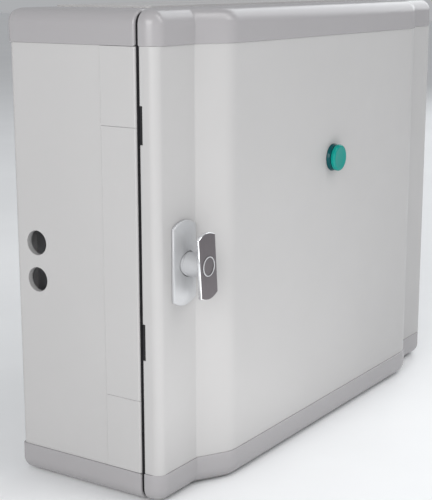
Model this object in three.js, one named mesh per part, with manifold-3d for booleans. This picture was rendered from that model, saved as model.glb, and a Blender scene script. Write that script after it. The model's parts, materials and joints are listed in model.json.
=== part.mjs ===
// A lockable sheet-steel cabinet fitted out as a phone charging station.
// Millimetres, +Z up. The door faces -Y and +X is to the right of somebody facing it.
// The origin is the centre of the body's underside.

import * as THREE from 'three';
import { mergeVertices } from 'three/addons/utils/BufferGeometryUtils.js';
import Module from 'manifold-3d';

const wasm = await Module();
wasm.setup();

// ---------------------------------------------------------------- driving dimensions
const WIDTH = 575;              // across the plastic end caps
const HEIGHT = 450;             // underside to the top cap's flat
const DEPTH = 147;              // body alone, without the door
const CAP_BOTTOM = 28;          // height of the bottom caps
const CAP_TOP = 31;             // height of the top caps
const CAP_PROUD = 1.2;          // how far the caps stand out past the steel
const CAP_ROUND = 13;           // rounding of the caps' outer edges
const CAP_CORNER = 5;           // upright rear corners of the body's caps
const CAP_WALL = 3;
const STEEL = 2;                // sheet thickness of the body
const DOOR_STEEL = 1.5;         // sheet thickness of the door
const FIT = 0.3;                // clearance left between touching pieces
const DOOR_GAP = 3;             // body front to the door's rear edge
const DOOR_LIFT = 1;            // the door clears the table by this much
const MARGIN_OUT = 21.5;        // door's side margins, in front of the body
const FACE_OUT = 40.5;          // door's raised middle, in front of the body
const MARGIN_X = 228;           // where the margin meets the bevel
const FACE_X = 195;             // where the bevel meets the raised middle
const FRAME_DEEP = 39;          // side strip of the front frame
const FRAME_FACE = 24;          // front flange of the frame
const CORNER_TALL = 70;         // corner pieces of the frame
const HINGE_HEIGHTS = { upper: 351, lower: 155 };
const HANDLE = { x: -248, z: 224, tilt: 4.5 };
const PILOT = { x: 0, z: 292 };
const RAIL_Z = 112;             // centre of the DIN rail
const SHELF_Z = 204;            // floor of the phone rack
const BAYS = 6;

// ---------------------------------------------------------------- derived planes
const FRONT = -DEPTH / 2;
const BACK = DEPTH / 2;
const DOOR_REAR = FRONT - DOOR_GAP;
const MARGIN_Y = FRONT - MARGIN_OUT;
const FACE_Y = FRONT - FACE_OUT;
const STEEL_X = WIDTH / 2 - CAP_PROUD;
const STEEL_LOW = CAP_BOTTOM + FIT;
const STEEL_HIGH = HEIGHT - CAP_TOP - FIT;
const FRAME_X = STEEL_X + 0.7;
const OPENING_X = FRAME_X - FRAME_FACE;
const OPENING_LOW = STEEL_LOW + FRAME_FACE;
const OPENING_HIGH = STEEL_HIGH - FRAME_FACE;
const HINGE_AXIS = { x: WIDTH / 2 - 7.5, y: FRONT - 13 };

// ---------------------------------------------------------------- materials
const finish = (color, roughness, metalness = 0) =>
  new THREE.MeshStandardMaterial({ color, roughness, metalness });
const PAINT = () => finish(0xc9c8c4, 0.55);
const CAP_GREY = () => finish(0xa9aaad, 0.5);
const ZINC = () => finish(0xa7a9ab, 0.4, 0.9);
const SATIN = () => finish(0xc4c6c8, 0.3, 0.9);
const BLACK = () => finish(0x1b1c1e, 0.7);
const MODULE_GREY = () => finish(0xd9dadb, 0.5);

// ---------------------------------------------------------------- geometry helpers
const box = (x0, x1, y0, y1, z0, z1) =>
  new THREE.BoxGeometry(x1 - x0, y1 - y0, z1 - z0)
    .translate((x0 + x1) / 2, (y0 + y1) / 2, (z0 + z1) / 2);

// Turns local (x, y, z) into (X, Z, -Y): an outline seen from the front grows towards the viewer.
const FACING_FRONT = new THREE.Matrix4().makeBasis(
  new THREE.Vector3(1, 0, 0), new THREE.Vector3(0, 0, 1), new THREE.Vector3(0, -1, 0));
// Turns local (x, y, z) into (Y, Z, X): a side view grows towards +X.
const FACING_SIDE = new THREE.Matrix4().makeBasis(
  new THREE.Vector3(0, 1, 0), new THREE.Vector3(0, 0, 1), new THREE.Vector3(1, 0, 0));

const asShape = (points) => new THREE.Shape(points.map(([x, y]) => new THREE.Vector2(x, y)));
const extrude = (points, depth) =>
  new THREE.ExtrudeGeometry(asShape(points), { depth, bevelEnabled: false, steps: 1 });
const extrudeZ = (plan, z0, z1) => extrude(plan, z1 - z0).translate(0, 0, z0);
const extrudeX = (side, x0, x1) => extrude(side, x1 - x0).applyMatrix4(FACING_SIDE).translate(x0, 0, 0);
const extrudeY = (front, y0, y1) => extrude(front, y1 - y0).applyMatrix4(FACING_FRONT).translate(0, y1, 0);

const ROUND = 20;               // sides of a round piece
const cylinderY = (r, x, z, y0, y1, sides = ROUND) =>
  new THREE.CylinderGeometry(r, r, y1 - y0, sides).translate(x, (y0 + y1) / 2, z);
const cylinderX = (r, y, z, x0, x1, sides = ROUND) =>
  new THREE.CylinderGeometry(r, r, x1 - x0, sides).rotateZ(Math.PI / 2).translate((x0 + x1) / 2, y, z);
const cylinderZ = (r, x, y, z0, z1, sides = ROUND) =>
  new THREE.CylinderGeometry(r, r, z1 - z0, sides).rotateX(Math.PI / 2).translate(x, y, (z0 + z1) / 2);

// A turned piece about an axis along Y. The profile is (radius, y), listed from low y to high y.
const turned = (profile, sides = ROUND) =>
  new THREE.LatheGeometry(profile.map(([r, y]) => new THREE.Vector2(r, y)), sides);

function solid(geometry) {
  const bare = geometry.clone();
  bare.deleteAttribute('normal');
  bare.deleteAttribute('uv');
  const merged = mergeVertices(bare, 1e-4);
  const vertProperties = new Float32Array(merged.attributes.position.array);
  const triVerts = new Uint32Array(merged.index.array);
  return new wasm.Manifold(new wasm.Mesh({ numProp: 3, vertProperties, triVerts }));
}

function toGeometry(manifold) {
  const mesh = manifold.getMesh();
  const geometry = new THREE.BufferGeometry();
  geometry.setAttribute('position', new THREE.BufferAttribute(mesh.vertProperties, 3));
  geometry.setIndex(new THREE.BufferAttribute(mesh.triVerts, 1));
  return geometry;
}

const cut = (geometry, ...tools) =>
  toGeometry(tools.reduce((rest, tool) => rest.subtract(solid(tool)), solid(geometry)));
const join = (first, ...others) =>
  toGeometry(others.reduce((sum, other) => sum.add(solid(other)), solid(first)));

// Points of a path whose corners are [x, y, radius], rounded with `steps` chords each.
function rounded(corners, steps, closed) {
  const count = corners.length;
  return corners.flatMap(([x, y, radius], i) => {
    const isEnd = !closed && (i === 0 || i === count - 1);
    if (isEnd || !radius) return [[x, y]];
    const corner = new THREE.Vector2(x, y);
    const toward = (j) => {
      const [nx, ny] = corners[(j + count) % count];
      return new THREE.Vector2(nx, ny).sub(corner).normalize();
    };
    const before = toward(i - 1);
    const after = toward(i + 1);
    const half = Math.acos(THREE.MathUtils.clamp(before.dot(after), -1, 1)) / 2;
    const reach = radius / Math.tan(half);
    const centre = before.clone().add(after).normalize().multiplyScalar(radius / Math.sin(half)).add(corner);
    const start = corner.clone().addScaledVector(before, reach).sub(centre);
    const stop = corner.clone().addScaledVector(after, reach).sub(centre);
    const sweep = Math.atan2(start.cross(stop), start.dot(stop));
    return Array.from({ length: steps + 1 }, (_, k) => {
      const point = start.clone().rotateAround(new THREE.Vector2(), (sweep * k) / steps).add(centre);
      return [point.x, point.y];
    });
  });
}

// Moves a closed counter-clockwise corner list inwards; corner radii shrink or grow to match.
function shrunk(corners, inset) {
  const count = corners.length;
  return corners.map(([x, y, radius], i) => {
    const [px, py] = corners[(i - 1 + count) % count];
    const [nx, ny] = corners[(i + 1) % count];
    const into = new THREE.Vector2(x - px, y - py).normalize();
    const out = new THREE.Vector2(nx - x, ny - y).normalize();
    const normalIn = new THREE.Vector2(-into.y, into.x);
    const normalOut = new THREE.Vector2(-out.y, out.x);
    const move = normalIn.clone().add(normalOut).multiplyScalar(inset / (1 + normalIn.dot(normalOut)));
    const convex = into.cross(out) > 0;
    return [x + move.x, y + move.y, Math.max(convex ? radius - inset : radius + inset, 0.5)];
  });
}

// A closed solid through rings of equal point counts, each at its own height.
function loft(rings, heights) {
  const size = rings[0].length;
  const positions = rings.flatMap((ring, k) => ring.flatMap(([x, y]) => [x, y, heights[k]]));
  const faces = [];
  for (let k = 0; k + 1 < rings.length; k += 1) {
    for (let i = 0; i < size; i += 1) {
      const a = k * size + i;
      const b = k * size + ((i + 1) % size);
      faces.push(a, b, b + size, a, b + size, a + size);
    }
  }
  const lid = (ring) => THREE.ShapeUtils.triangulateShape(ring.map(([x, y]) => new THREE.Vector2(x, y)), []);
  const last = (rings.length - 1) * size;
  lid(rings[0]).forEach(([a, b, c]) => faces.push(c, b, a));
  lid(rings[rings.length - 1]).forEach(([a, b, c]) => faces.push(a + last, b + last, c + last));
  const geometry = new THREE.BufferGeometry();
  geometry.setAttribute('position', new THREE.Float32BufferAttribute(positions, 3));
  geometry.setIndex(faces);
  return geometry;
}

// A slab over a plan outline whose far end is rounded over: up = +1 rounds the top, -1 the bottom.
function roundedSlab(corners, flatZ, endZ, radius) {
  const steps = 4;
  const up = Math.sign(endZ - flatZ);
  const levels = [{ inset: 0, z: flatZ }];
  for (let k = 0; k <= steps; k += 1) {
    const angle = (k / steps) * (Math.PI / 2);
    levels.push({
      inset: radius * (1 - Math.cos(angle)),
      z: endZ - up * radius * (1 - Math.sin(angle)),
    });
  }
  if (up < 0) levels.reverse();
  const rings = levels.map(({ inset }) => rounded(shrunk(corners, inset), 3, true));
  return loft(rings, levels.map(({ z }) => z));
}

// The closed outline of a folded strip: a path and the same path moved left by the thickness.
function folded(path, thickness) {
  const inner = path.map(([x, y], i) => {
    const [px, py] = path[Math.max(i - 1, 0)];
    const [nx, ny] = path[Math.min(i + 1, path.length - 1)];
    const into = new THREE.Vector2(x - px, y - py);
    const out = new THREE.Vector2(nx - x, ny - y);
    if (into.length() === 0) into.copy(out);
    if (out.length() === 0) out.copy(into);
    into.normalize();
    out.normalize();
    const normalIn = new THREE.Vector2(-into.y, into.x);
    const normalOut = new THREE.Vector2(-out.y, out.x);
    const move = normalIn.clone().add(normalOut).multiplyScalar(thickness / (1 + normalIn.dot(normalOut)));
    return [x + move.x, y + move.y];
  });
  return [...path, ...inner.reverse()];
}

const flipped = (points) => points.map(([x, ...rest]) => [-x, ...rest]);

// ---------------------------------------------------------------- the assembly
const charger = new THREE.Group();
const cabinet = new THREE.Group();
const door = new THREE.Group();
const handle = new THREE.Group();
charger.add(cabinet, door, handle);

function put(group, name, geometry, material) {
  const mesh = new THREE.Mesh(geometry, material);
  mesh.name = name;
  group.add(mesh);
}

// ---------------------------------------------------------------- body: caps and panels
function bodyCap(flatZ, endZ) {
  const overrun = 2 * CAP_ROUND;
  const half = WIDTH / 2;
  const plan = [
    [-half, FRONT - overrun, 0], [half, FRONT - overrun, 0],
    [half, BACK, CAP_CORNER], [-half, BACK, CAP_CORNER],
  ];
  const up = Math.sign(endZ - flatZ);
  const outer = roundedSlab(plan, flatZ, endZ, CAP_ROUND);
  const hollow = roundedSlab(shrunk(plan, CAP_WALL), flatZ - up, endZ - up * CAP_WALL, CAP_ROUND - CAP_WALL);
  const front = box(-WIDTH, WIDTH, FRONT - 3 * overrun, FRONT, -HEIGHT, 2 * HEIGHT);
  const inner = cut(hollow, front.clone().translate(0, CAP_WALL, 0));
  return cut(outer, front, inner);
}

const TOP_PLATE = { x: 238, front: FRONT + 20, back: BACK - 16, sunk: 1.2, thick: 3 };

function topCap() {
  const { x, front, back, sunk } = TOP_PLATE;
  const recess = box(-x, x, front, back, HEIGHT - sunk, HEIGHT + 1);
  return cut(bodyCap(HEIGHT - CAP_TOP, HEIGHT), recess);
}

function topPlate() {
  const { x, front, back, sunk, thick } = TOP_PLATE;
  const plan = [
    [-x + FIT, front + FIT, 4], [x - FIT, front + FIT, 4],
    [x - FIT, back - FIT, 4], [-x + FIT, back - FIT, 4],
  ];
  const low = HEIGHT - sunk + FIT;
  return extrudeZ(rounded(plan, 3, true), low, low + thick - FIT);
}

const CABLE_HOLES = { y: 46.5, heights: [197, 232.5], r: 11.75 };
const CABLE_PLATE = { front: 30, back: 63, low: 180, high: 250 };

// The left panel has a window, and a flush plate in it carries the cable holes.
function sidePanel(side) {
  const [x0, x1] = side > 0 ? [STEEL_X - STEEL, STEEL_X] : [-STEEL_X, -STEEL_X + STEEL];
  const panel = box(x0, x1, FRONT + FRAME_DEEP + FIT, BACK - CAP_PROUD, STEEL_LOW, STEEL_HIGH);
  const { front, back, low, high } = CABLE_PLATE;
  return side > 0 ? panel : cut(panel, box(x0 - 1, x1 + 1, front - FIT, back + FIT, low - FIT, high + FIT));
}

function cablePlate() {
  const { front, back, low, high } = CABLE_PLATE;
  const { y, heights, r } = CABLE_HOLES;
  const holes = heights.map((z) => cylinderX(r, y, z, -STEEL_X - 5, -STEEL_X + 5, 24));
  return cut(box(-STEEL_X, -STEEL_X + STEEL, front, back, low, high), ...holes);
}

// The back is one tray: a flat sheet with a flange along each side, screwed inside the side panels.
function backPanel() {
  const x = STEEL_X - STEEL - FIT;
  const backY = BACK - CAP_PROUD;
  const tray = folded([[x, backY - 12], [x, backY], [-x, backY], [-x, backY - 12]], STEEL);
  return extrudeZ(tray, STEEL_LOW, STEEL_HIGH);
}

// ---------------------------------------------------------------- body: front frame
// Plan of a frame side: the outer strip, the front flange and a tongue behind the side panel's edge.
function framePlan(side) {
  const wall = 2.7;
  const deep = FRONT + FRAME_DEEP;
  const tongue = { front: deep - 9, back: deep + 8, inner: STEEL_X - STEEL - 2.3 };
  const plan = [
    [FRAME_X, FRONT], [FRAME_X, deep],
    [STEEL_X - STEEL - FIT, deep], [STEEL_X - STEEL - FIT, tongue.back],
    [tongue.inner, tongue.back], [tongue.inner, tongue.front],
    [FRAME_X - wall, tongue.front], [FRAME_X - wall, FRONT + 2.5],
    [OPENING_X, FRONT + 2.5], [OPENING_X, FRONT],
  ];
  return side > 0 ? plan : flipped(plan);
}

const frameUpright = (side) =>
  extrudeZ(framePlan(side), STEEL_LOW + CORNER_TALL + FIT, STEEL_HIGH - CORNER_TALL - FIT);

const CORNER_WIDE = 47;

function frameCorner(side, end) {
  const outerZ = end > 0 ? STEEL_HIGH : STEEL_LOW;
  const farZ = outerZ - end * CORNER_TALL;
  const [z0, z1] = [Math.min(outerZ, farZ), Math.max(outerZ, farZ)];
  const edgeZ = outerZ - end * FRAME_FACE;
  const tipX = FRAME_X - CORNER_WIDE;
  let face = rounded([
    [tipX, outerZ], [tipX, edgeZ], [OPENING_X, edgeZ, 8], [OPENING_X, farZ], [FRAME_X, farZ],
    [FRAME_X, outerZ],
  ], 3, false);
  if (side < 0) face = flipped(face);
  return join(extrudeZ(framePlan(side), z0, z1), extrudeY(face, FRONT, FRONT + 2.5));
}

function frameRail(end) {
  const outerZ = end > 0 ? STEEL_HIGH : STEEL_LOW;
  const edgeZ = outerZ - end * FRAME_FACE;
  const side = [
    [FRONT, edgeZ], [FRONT + 22, edgeZ], [FRONT + 22, edgeZ + end * 2],
    [FRONT + 2.5, edgeZ + end * 2], [FRONT + 2.5, outerZ], [FRONT, outerZ],
  ];
  const reach = FRAME_X - CORNER_WIDE - FIT;
  return extrudeX(side, -reach, reach);
}

// ---------------------------------------------------------------- hinges
const EYE_R = 3.7;
const PIN_R = 2;
const EYE_TALL = 14.4;          // height of the fixed eye between the two turning ones
const HINGE_TALL = 30;

function hingeBracket(z) {
  const { x, y } = HINGE_AXIS;
  const half = HINGE_TALL / 2;
  const leafFront = FRONT - 2;
  const leaf = box(x - 10, x - 2, leafFront, FRONT - FIT, z - half, z + half);
  const arm = extrudeZ([
    [x - 3.9, y - 0.5], [x - 1, y + 3.6], [x - 3, leafFront + 1], [x - 9, leafFront + 1],
  ], z - EYE_TALL / 2, z + EYE_TALL / 2);
  const eye = cylinderZ(EYE_R, x, y, z - EYE_TALL / 2, z + EYE_TALL / 2);
  const bore = cylinderZ(PIN_R + FIT, x, y, z - HINGE_TALL, z + HINGE_TALL);
  return cut(join(leaf, arm, eye), bore);
}

function hingeKnuckle(z) {
  const { x, y } = HINGE_AXIS;
  const half = HINGE_TALL / 2;
  const plateY = MARGIN_Y + DOOR_STEEL + FIT;
  const leaf = box(x - 24, x - 3, plateY, plateY + 1.6, z - half, z + half);
  const ear = [[x - 4, plateY + 0.5], [x - 1, plateY + 0.5], [x + 3.5, y - 0.8], [x - 3.6, y]];
  const ears = [[-half, -EYE_TALL / 2 - FIT], [EYE_TALL / 2 + FIT, half]].map(([low, high]) =>
    join(extrudeZ(ear, z + low, z + high), cylinderZ(EYE_R, x, y, z + low, z + high)));
  const bore = cylinderZ(PIN_R + FIT, x, y, z - HINGE_TALL, z + HINGE_TALL);
  return cut(join(leaf, ...ears), bore);
}

function hingePin(z) {
  const half = HINGE_TALL / 2;
  const profile = [
    [0, -half - 1], [PIN_R, -half - 1], [PIN_R, half + FIT], [PIN_R + 1.2, half + FIT],
    [PIN_R + 1.2, half + 1.6], [0, half + 1.6],
  ];
  return turned(profile).rotateX(Math.PI / 2).translate(HINGE_AXIS.x, HINGE_AXIS.y, z);
}

// ---------------------------------------------------------------- inside: chassis and DIN row
const POST = { x: 248, front: 14, back: BACK - CAP_PROUD - STEEL - FIT, half: 11 };
const RACK_BACK = POST.front - FIT;

function chassisPost(side) {
  const { x, front, back, half } = POST;
  const channel = folded([
    [side * x - half, back], [side * x - half, front], [side * x + half, front], [side * x + half, back],
  ], 2);
  return extrudeZ(channel, STEEL_LOW + 8, STEEL_HIGH - 8);
}

const DIN = { front: 6.2, deep: 7.5, half: 17.5, web: 13.5, thick: 1 };

function dinRail() {
  const { front, deep, half, web, thick } = DIN;
  const back = front + deep;
  const hat = folded([
    [front, -half], [front, -web], [back - thick, -web + 0.5], [back - thick, web - 0.5],
    [front, web], [front, half],
  ].reverse(), thick);
  return extrudeX(hat, -POST.x, POST.x).translate(0, 0, RAIL_Z);
}

const MODULE = { pitch: 18, shoulder: -38, nose: -50, half: 42, noseHalf: 22.2, back: 5.8 };

function dinModule(x0, x1) {
  const { shoulder, nose, half, noseHalf, back } = MODULE;
  const side = [
    [back, -half], [back, half], [shoulder, half], [shoulder, noseHalf], [nose, noseHalf],
    [nose, -noseHalf], [shoulder, -noseHalf], [shoulder, -half],
  ].reverse();
  return extrudeX(side, x0, x1).translate(0, 0, RAIL_Z);
}

const ROW_LEFT = -216;
const BREAKER = { x0: ROW_LEFT, x1: ROW_LEFT + 2 * MODULE.pitch };
const TOGGLE = { x: BREAKER.x0 + 14, y: -44, half: 5.5, hub: 4.5 };
const TEST = { x: BREAKER.x0 + 28.5, z: RAIL_Z - 8, half: 3 };

function breakerBody() {
  const slot = box(TOGGLE.x - TOGGLE.half - FIT, TOGGLE.x + TOGGLE.half + FIT,
    MODULE.nose - 1, TOGGLE.y + TOGGLE.hub + 1, RAIL_Z - 14, RAIL_Z + 14);
  const well = box(TEST.x - TEST.half - FIT, TEST.x + TEST.half + FIT,
    MODULE.nose - 1, MODULE.nose + 7, TEST.z - TEST.half - FIT, TEST.z + TEST.half + FIT);
  return cut(dinModule(BREAKER.x0, BREAKER.x1 - FIT), slot, well);
}

function breakerToggle() {
  const { x, y, half, hub } = TOGGLE;
  const tip = MODULE.nose - 9;
  const lever = extrudeX([[y + 2, -2.4], [y + 2, 2.4], [tip, 2], [tip, -2]].reverse(), x - half, x + half)
    .translate(0, -y, 0).rotateX(THREE.MathUtils.degToRad(-35)).translate(0, y, RAIL_Z);
  return join(cylinderX(hub, y, RAIL_Z, x - half, x + half, 16), lever);
}

const testButton = () => box(TEST.x - TEST.half, TEST.x + TEST.half,
  MODULE.nose - 2.4, MODULE.nose + 3, TEST.z - TEST.half, TEST.z + TEST.half);

const SUPPLIES = [BREAKER.x1, BREAKER.x1 + 4 * MODULE.pitch]
  .map((x0) => ({ x0, x1: x0 + 4 * MODULE.pitch - FIT }));
const WINDOW = { x: 12 * MODULE.pitch, half: 22.8 };
const COVER = { x: 250, low: 46, high: 186, front: -46, thick: 1.5, turn: 59.7 };
const LEAD = { r: 2, entryY: -12 };

function faceplate() {
  const { x, low, high, front, thick, turn } = COVER;
  const tray = cut(
    box(-x, x, front, front + turn, low, high),
    box(-x + thick, x - thick, front + thick, front + turn + 1, low + thick, high - thick));
  return cut(tray,
    box(-WINDOW.x - FIT, WINDOW.x + FIT, front - 1, front + 3, RAIL_Z - WINDOW.half, RAIL_Z + WINDOW.half),
    cylinderX(LEAD.r + 1.5, LEAD.entryY, RAIL_Z, x - 5, x + 5, 12));
}

function faceplateScrew(side) {
  const x = side * (COVER.x - 16);
  const { front, high } = COVER;
  return turned([
    [0, front - 2.2], [4.4, front - 2.2], [5, front - 1.6], [5, front - FIT], [0, front - FIT],
  ], 16).translate(x, 0, high - 14);
}

function blankingStrip() {
  const x0 = SUPPLIES[1].x1 + 2 * FIT;
  const half = WINDOW.half - FIT;
  const { front, thick } = COVER;
  const face = box(x0, WINDOW.x, front - 2, front + thick, RAIL_Z - half, RAIL_Z + half);
  const ways = Math.floor((WINDOW.x - x0) / MODULE.pitch);
  const grooves = Array.from({ length: ways }, (_, k) => WINDOW.x - (k + 1) * MODULE.pitch)
    .map((x) => box(x - 0.5, x + 0.5, front - 3, front - 1.2, RAIL_Z - 40, RAIL_Z + 40));
  return cut(face, ...grooves);
}

function terminalBlock() {
  const x0 = 120;
  const base = extrudeX([[5.8, -20], [-14, -20], [-22, -12], [-22, 12], [-14, 20], [5.8, 20]], x0, x0 + 90);
  const ways = [0, 1, 2, 3, 4, 5].map((k) => x0 + 8 + k * 14)
    .map((x) => cylinderY(2.6, x, 0, -30, -12, 10));
  return cut(base, ...ways).translate(0, 0, RAIL_Z);
}

// ---------------------------------------------------------------- inside: phone rack
const RACK = { x: 250, front: -50, thick: 2, lip: 20, back: 142 };
const BAY = (2 * RACK.x - 2 * RACK.thick) / BAYS;

function phoneShelf() {
  const { x, front, thick, lip, back } = RACK;
  const profile = folded([
    [front, SHELF_Z + lip], [front, SHELF_Z - thick],
    [RACK_BACK, SHELF_Z - thick], [RACK_BACK, SHELF_Z + back],
  ], thick);
  const ends = [-x, x - thick].map((x0) => extrudeX([
    [front, SHELF_Z - thick], [RACK_BACK, SHELF_Z - thick], [RACK_BACK, SHELF_Z + 90],
    [RACK_BACK - 25, SHELF_Z + 90], [front, SHELF_Z + lip],
  ], x0, x0 + thick));
  return join(extrudeX(profile, -x, x), ...ends);
}

function divider(x) {
  const { front, thick } = RACK;
  const rear = RACK_BACK - thick - FIT;
  const side = rounded([
    [front + thick + FIT, SHELF_Z + FIT], [rear, SHELF_Z + FIT], [rear, SHELF_Z + 96, 4],
    [front + 22, SHELF_Z + 96, 16], [front + thick + FIT, SHELF_Z + 40, 20],
  ], 3, true);
  return extrudeX(side, x - 1.5, x + 1.5);
}

const OUTLETS = { low: SHELF_Z + 112, tall: 28, deep: 22 };

function outletBar() {
  const { low, tall, deep } = OUTLETS;
  const rear = RACK_BACK - RACK.thick - FIT;
  const half = RACK.x - 8;
  const bar = extrudeX(rounded([
    [rear - deep, low, 4], [rear, low], [rear, low + tall], [rear - deep, low + tall, 4],
  ], 3, true), -half, half);
  const z = low + tall / 2;
  const sockets = Array.from({ length: BAYS }, (_, k) => -RACK.x + RACK.thick + BAY * (k + 0.5))
    .map((x) => box(x - 4.8, x + 4.8, rear - deep - 1, rear - deep + 7, z - 1.8, z + 1.8));
  return cut(bar, ...sockets);
}

// ---------------------------------------------------------------- door: panel, caps, rails and seal
// Right half of the door's plan, from the rear edge round to the raised middle.
const doorHalf = (grow) => [
  [STEEL_X + grow, DOOR_REAR], [STEEL_X + grow, MARGIN_Y - grow, 9 + grow],
  [MARGIN_X, MARGIN_Y - grow, 6], [FACE_X, FACE_Y - grow, 14 + grow],
];
const acrossDoor = (half) => [...flipped(half), ...[...half].reverse()];

const LIP = 24;
const HINGE_NOTCH = { deep: 11, half: 18, wide: 18 };
const SPARE_NOTCH = { deep: 3.5, half: 17, wide: 8 };

// A notch in the door's rear edge, on the side given, level with a hinge.
function edgeNotch(side, z, { deep, half, wide }) {
  const [x0, x1] = [side * (STEEL_X - wide), side * (STEEL_X + 5)].sort((a, b) => a - b);
  return box(x0, x1, DOOR_REAR - deep, DOOR_REAR + 1, z - half, z + half);
}

function doorPanel() {
  const half = [[STEEL_X - LIP, DOOR_REAR], [STEEL_X, DOOR_REAR, 2], ...doorHalf(0).slice(1)];
  const path = rounded(acrossDoor(half), 4, false);
  const sheet = extrudeZ(folded(path, DOOR_STEEL), STEEL_LOW + DOOR_LIFT, STEEL_HIGH);
  const notches = Object.values(HINGE_HEIGHTS).flatMap((z) => [
    edgeNotch(1, z, HINGE_NOTCH), edgeNotch(-1, z, SPARE_NOTCH),
  ]);
  const handleHole = cylinderY(7, HANDLE.x, HANDLE.z, MARGIN_Y - 10, MARGIN_Y + 10);
  const pilotHole = cylinderY(11.3, PILOT.x, PILOT.z, FACE_Y - 10, FACE_Y + 10, 24);
  return cut(sheet, ...notches, handleHole, pilotHole);
}

function doorCap(flatZ, endZ) {
  const overrun = 2 * CAP_ROUND;
  const [rear, front, ...rest] = doorHalf(CAP_PROUD);
  const plan = acrossDoor([[rear[0], DOOR_REAR + overrun, 5], [front[0], front[1], CAP_ROUND + 1], ...rest]);
  const up = Math.sign(endZ - flatZ);
  const outer = roundedSlab(plan, flatZ, endZ, CAP_ROUND);
  const hollow = roundedSlab(shrunk(plan, CAP_WALL), flatZ - up, endZ - up * CAP_WALL, CAP_ROUND - CAP_WALL);
  const behind = box(-WIDTH, WIDTH, DOOR_REAR, DOOR_REAR + 3 * overrun, -HEIGHT, 2 * HEIGHT);
  const inner = cut(hollow, behind.clone().translate(0, -CAP_WALL, 0));
  return cut(outer, behind, inner);
}

// A folded rail across the inside of the door; its rear flange backs the seal.
function doorRail(end) {
  const outerZ = end > 0 ? STEEL_HIGH : STEEL_LOW + DOOR_LIFT;
  const edgeZ = outerZ - end * 26;
  const side = [
    [DOOR_REAR, outerZ], [DOOR_REAR, edgeZ], [DOOR_REAR - 14, edgeZ],
    [DOOR_REAR - 14, edgeZ + end * DOOR_STEEL], [DOOR_REAR - DOOR_STEEL, edgeZ + end * DOOR_STEEL],
    [DOOR_REAR - DOOR_STEEL, outerZ],
  ];
  const reach = STEEL_X - LIP - FIT;
  return extrudeX(side, -reach, reach);
}

// The seal runs along the door's edge on the handle side and inside the hinges on the other.
const SEAL = { left: -284, right: 268.5, low: 42, high: 405, wide: 5 };

function doorSeal() {
  const { left, right, low, high, wide } = SEAL;
  const [rear, front] = [FRONT - FIT, DOOR_REAR + FIT];
  return cut(box(left, right, front, rear, low, high),
    box(left + wide, right - wide, front - 1, rear + 1, low + wide, high - wide));
}

// ---------------------------------------------------------------- door: pilot light
function pilotBezel() {
  const seat = FACE_Y - FIT;
  return turned([
    [0, seat - 4], [13.2, seat - 4], [14.2, seat - 3.1], [14.35, seat], [11, seat],
    [11, seat + 14.3], [0, seat + 14.3],
  ], 24).translate(PILOT.x, 0, PILOT.z);
}

function pilotLens() {
  const seat = FACE_Y - 2 * FIT - 4;
  return turned([
    [0, seat - 5], [9.5, seat - 5], [12.6, seat - 4.5], [13.85, seat - 3.2], [13.85, seat - 1],
    [12.9, seat], [0, seat],
  ], 24).translate(PILOT.x, 0, PILOT.z);
}

const hexagon = (radius) => Array.from({ length: 6 }, (_, k) => {
  const angle = (k * Math.PI) / 3;
  return [radius * Math.cos(angle), radius * Math.sin(angle)];
});

function pilotNut() {
  const seat = FACE_Y + DOOR_STEEL + FIT;
  return cut(extrudeY(hexagon(15.6), seat, seat + 6), cylinderY(11.3, 0, 0, seat - 1, seat + 8, 24))
    .translate(PILOT.x, 0, PILOT.z);
}

const LAMP = { halfWide: 15, halfTall: 19, front: FACE_Y + 14.1, back: FACE_Y + 34 };

function pilotLampBlock() {
  const { halfWide, halfTall, front, back } = LAMP;
  const plan = rounded([
    [-halfWide, front, 3], [halfWide, front, 3], [halfWide, back, 3], [-halfWide, back, 3],
  ], 2, true);
  const screws = [-8, 8].map((x) => cylinderY(3, x, -11, back - 3, back + 1, 12));
  return cut(extrudeZ(plan, -halfTall, halfTall), ...screws).translate(PILOT.x, 0, PILOT.z);
}

// The pilot's lead: along the inside of the door, over the hinge side in a slack loop, and down
// between the rack and the frame to the terminal block.
function pilotLead() {
  const route = [
    [15.6, -90, PILOT.z], [45, -94, PILOT.z], [110, -100, 291], [170, -101, 289], [215, -92, 284],
    [241, -86, 274], [251, -82, 258], [253, -76, 240], [254, -64, 226], [257, -50, 214],
    [261, -38, 196], [263, -26, 166], [263, -16, 136], [258, -12.4, 116], [246, -12, RAIL_Z],
    [211, -12, RAIL_Z],
  ].map(([x, y, z]) => new THREE.Vector3(x, y, z));
  const section = Array.from({ length: 8 }, (_, k) => {
    const angle = (k * Math.PI) / 4;
    return [LEAD.r * Math.cos(angle), LEAD.r * Math.sin(angle)];
  });
  const extrudePath = new THREE.CatmullRomCurve3(route);
  return new THREE.ExtrudeGeometry(asShape(section), { extrudePath, steps: 60, bevelEnabled: false });
}

// ---------------------------------------------------------------- handle
// An outline with straight sides and arched ends, shrunk by an inset.
function archedOutline(halfWide, side, rise, inset) {
  const steps = 6;
  const reach = halfWide - inset;
  const arch = Array.from({ length: steps + 1 }, (_, k) => {
    const x = reach * ((2 * k) / steps - 1);
    return [x, side - inset + rise * (1 - (x / reach) ** 2)];
  });
  return [...arch.map(([x, y]) => [x, -y]), ...[...arch].reverse()];
}

function archedPlate(halfWide, side, rise, layers, backY) {
  const rings = layers.map(([inset]) => archedOutline(halfWide, side, rise, inset));
  const heights = layers.map(([, height]) => height);
  return loft(rings, heights).applyMatrix4(FACING_FRONT).translate(0, backY, 0);
}

const SHAFT_R = 5;
const STEM_R = 11;
const PADDLE_BACK = MARGIN_Y - 24.3;

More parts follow.
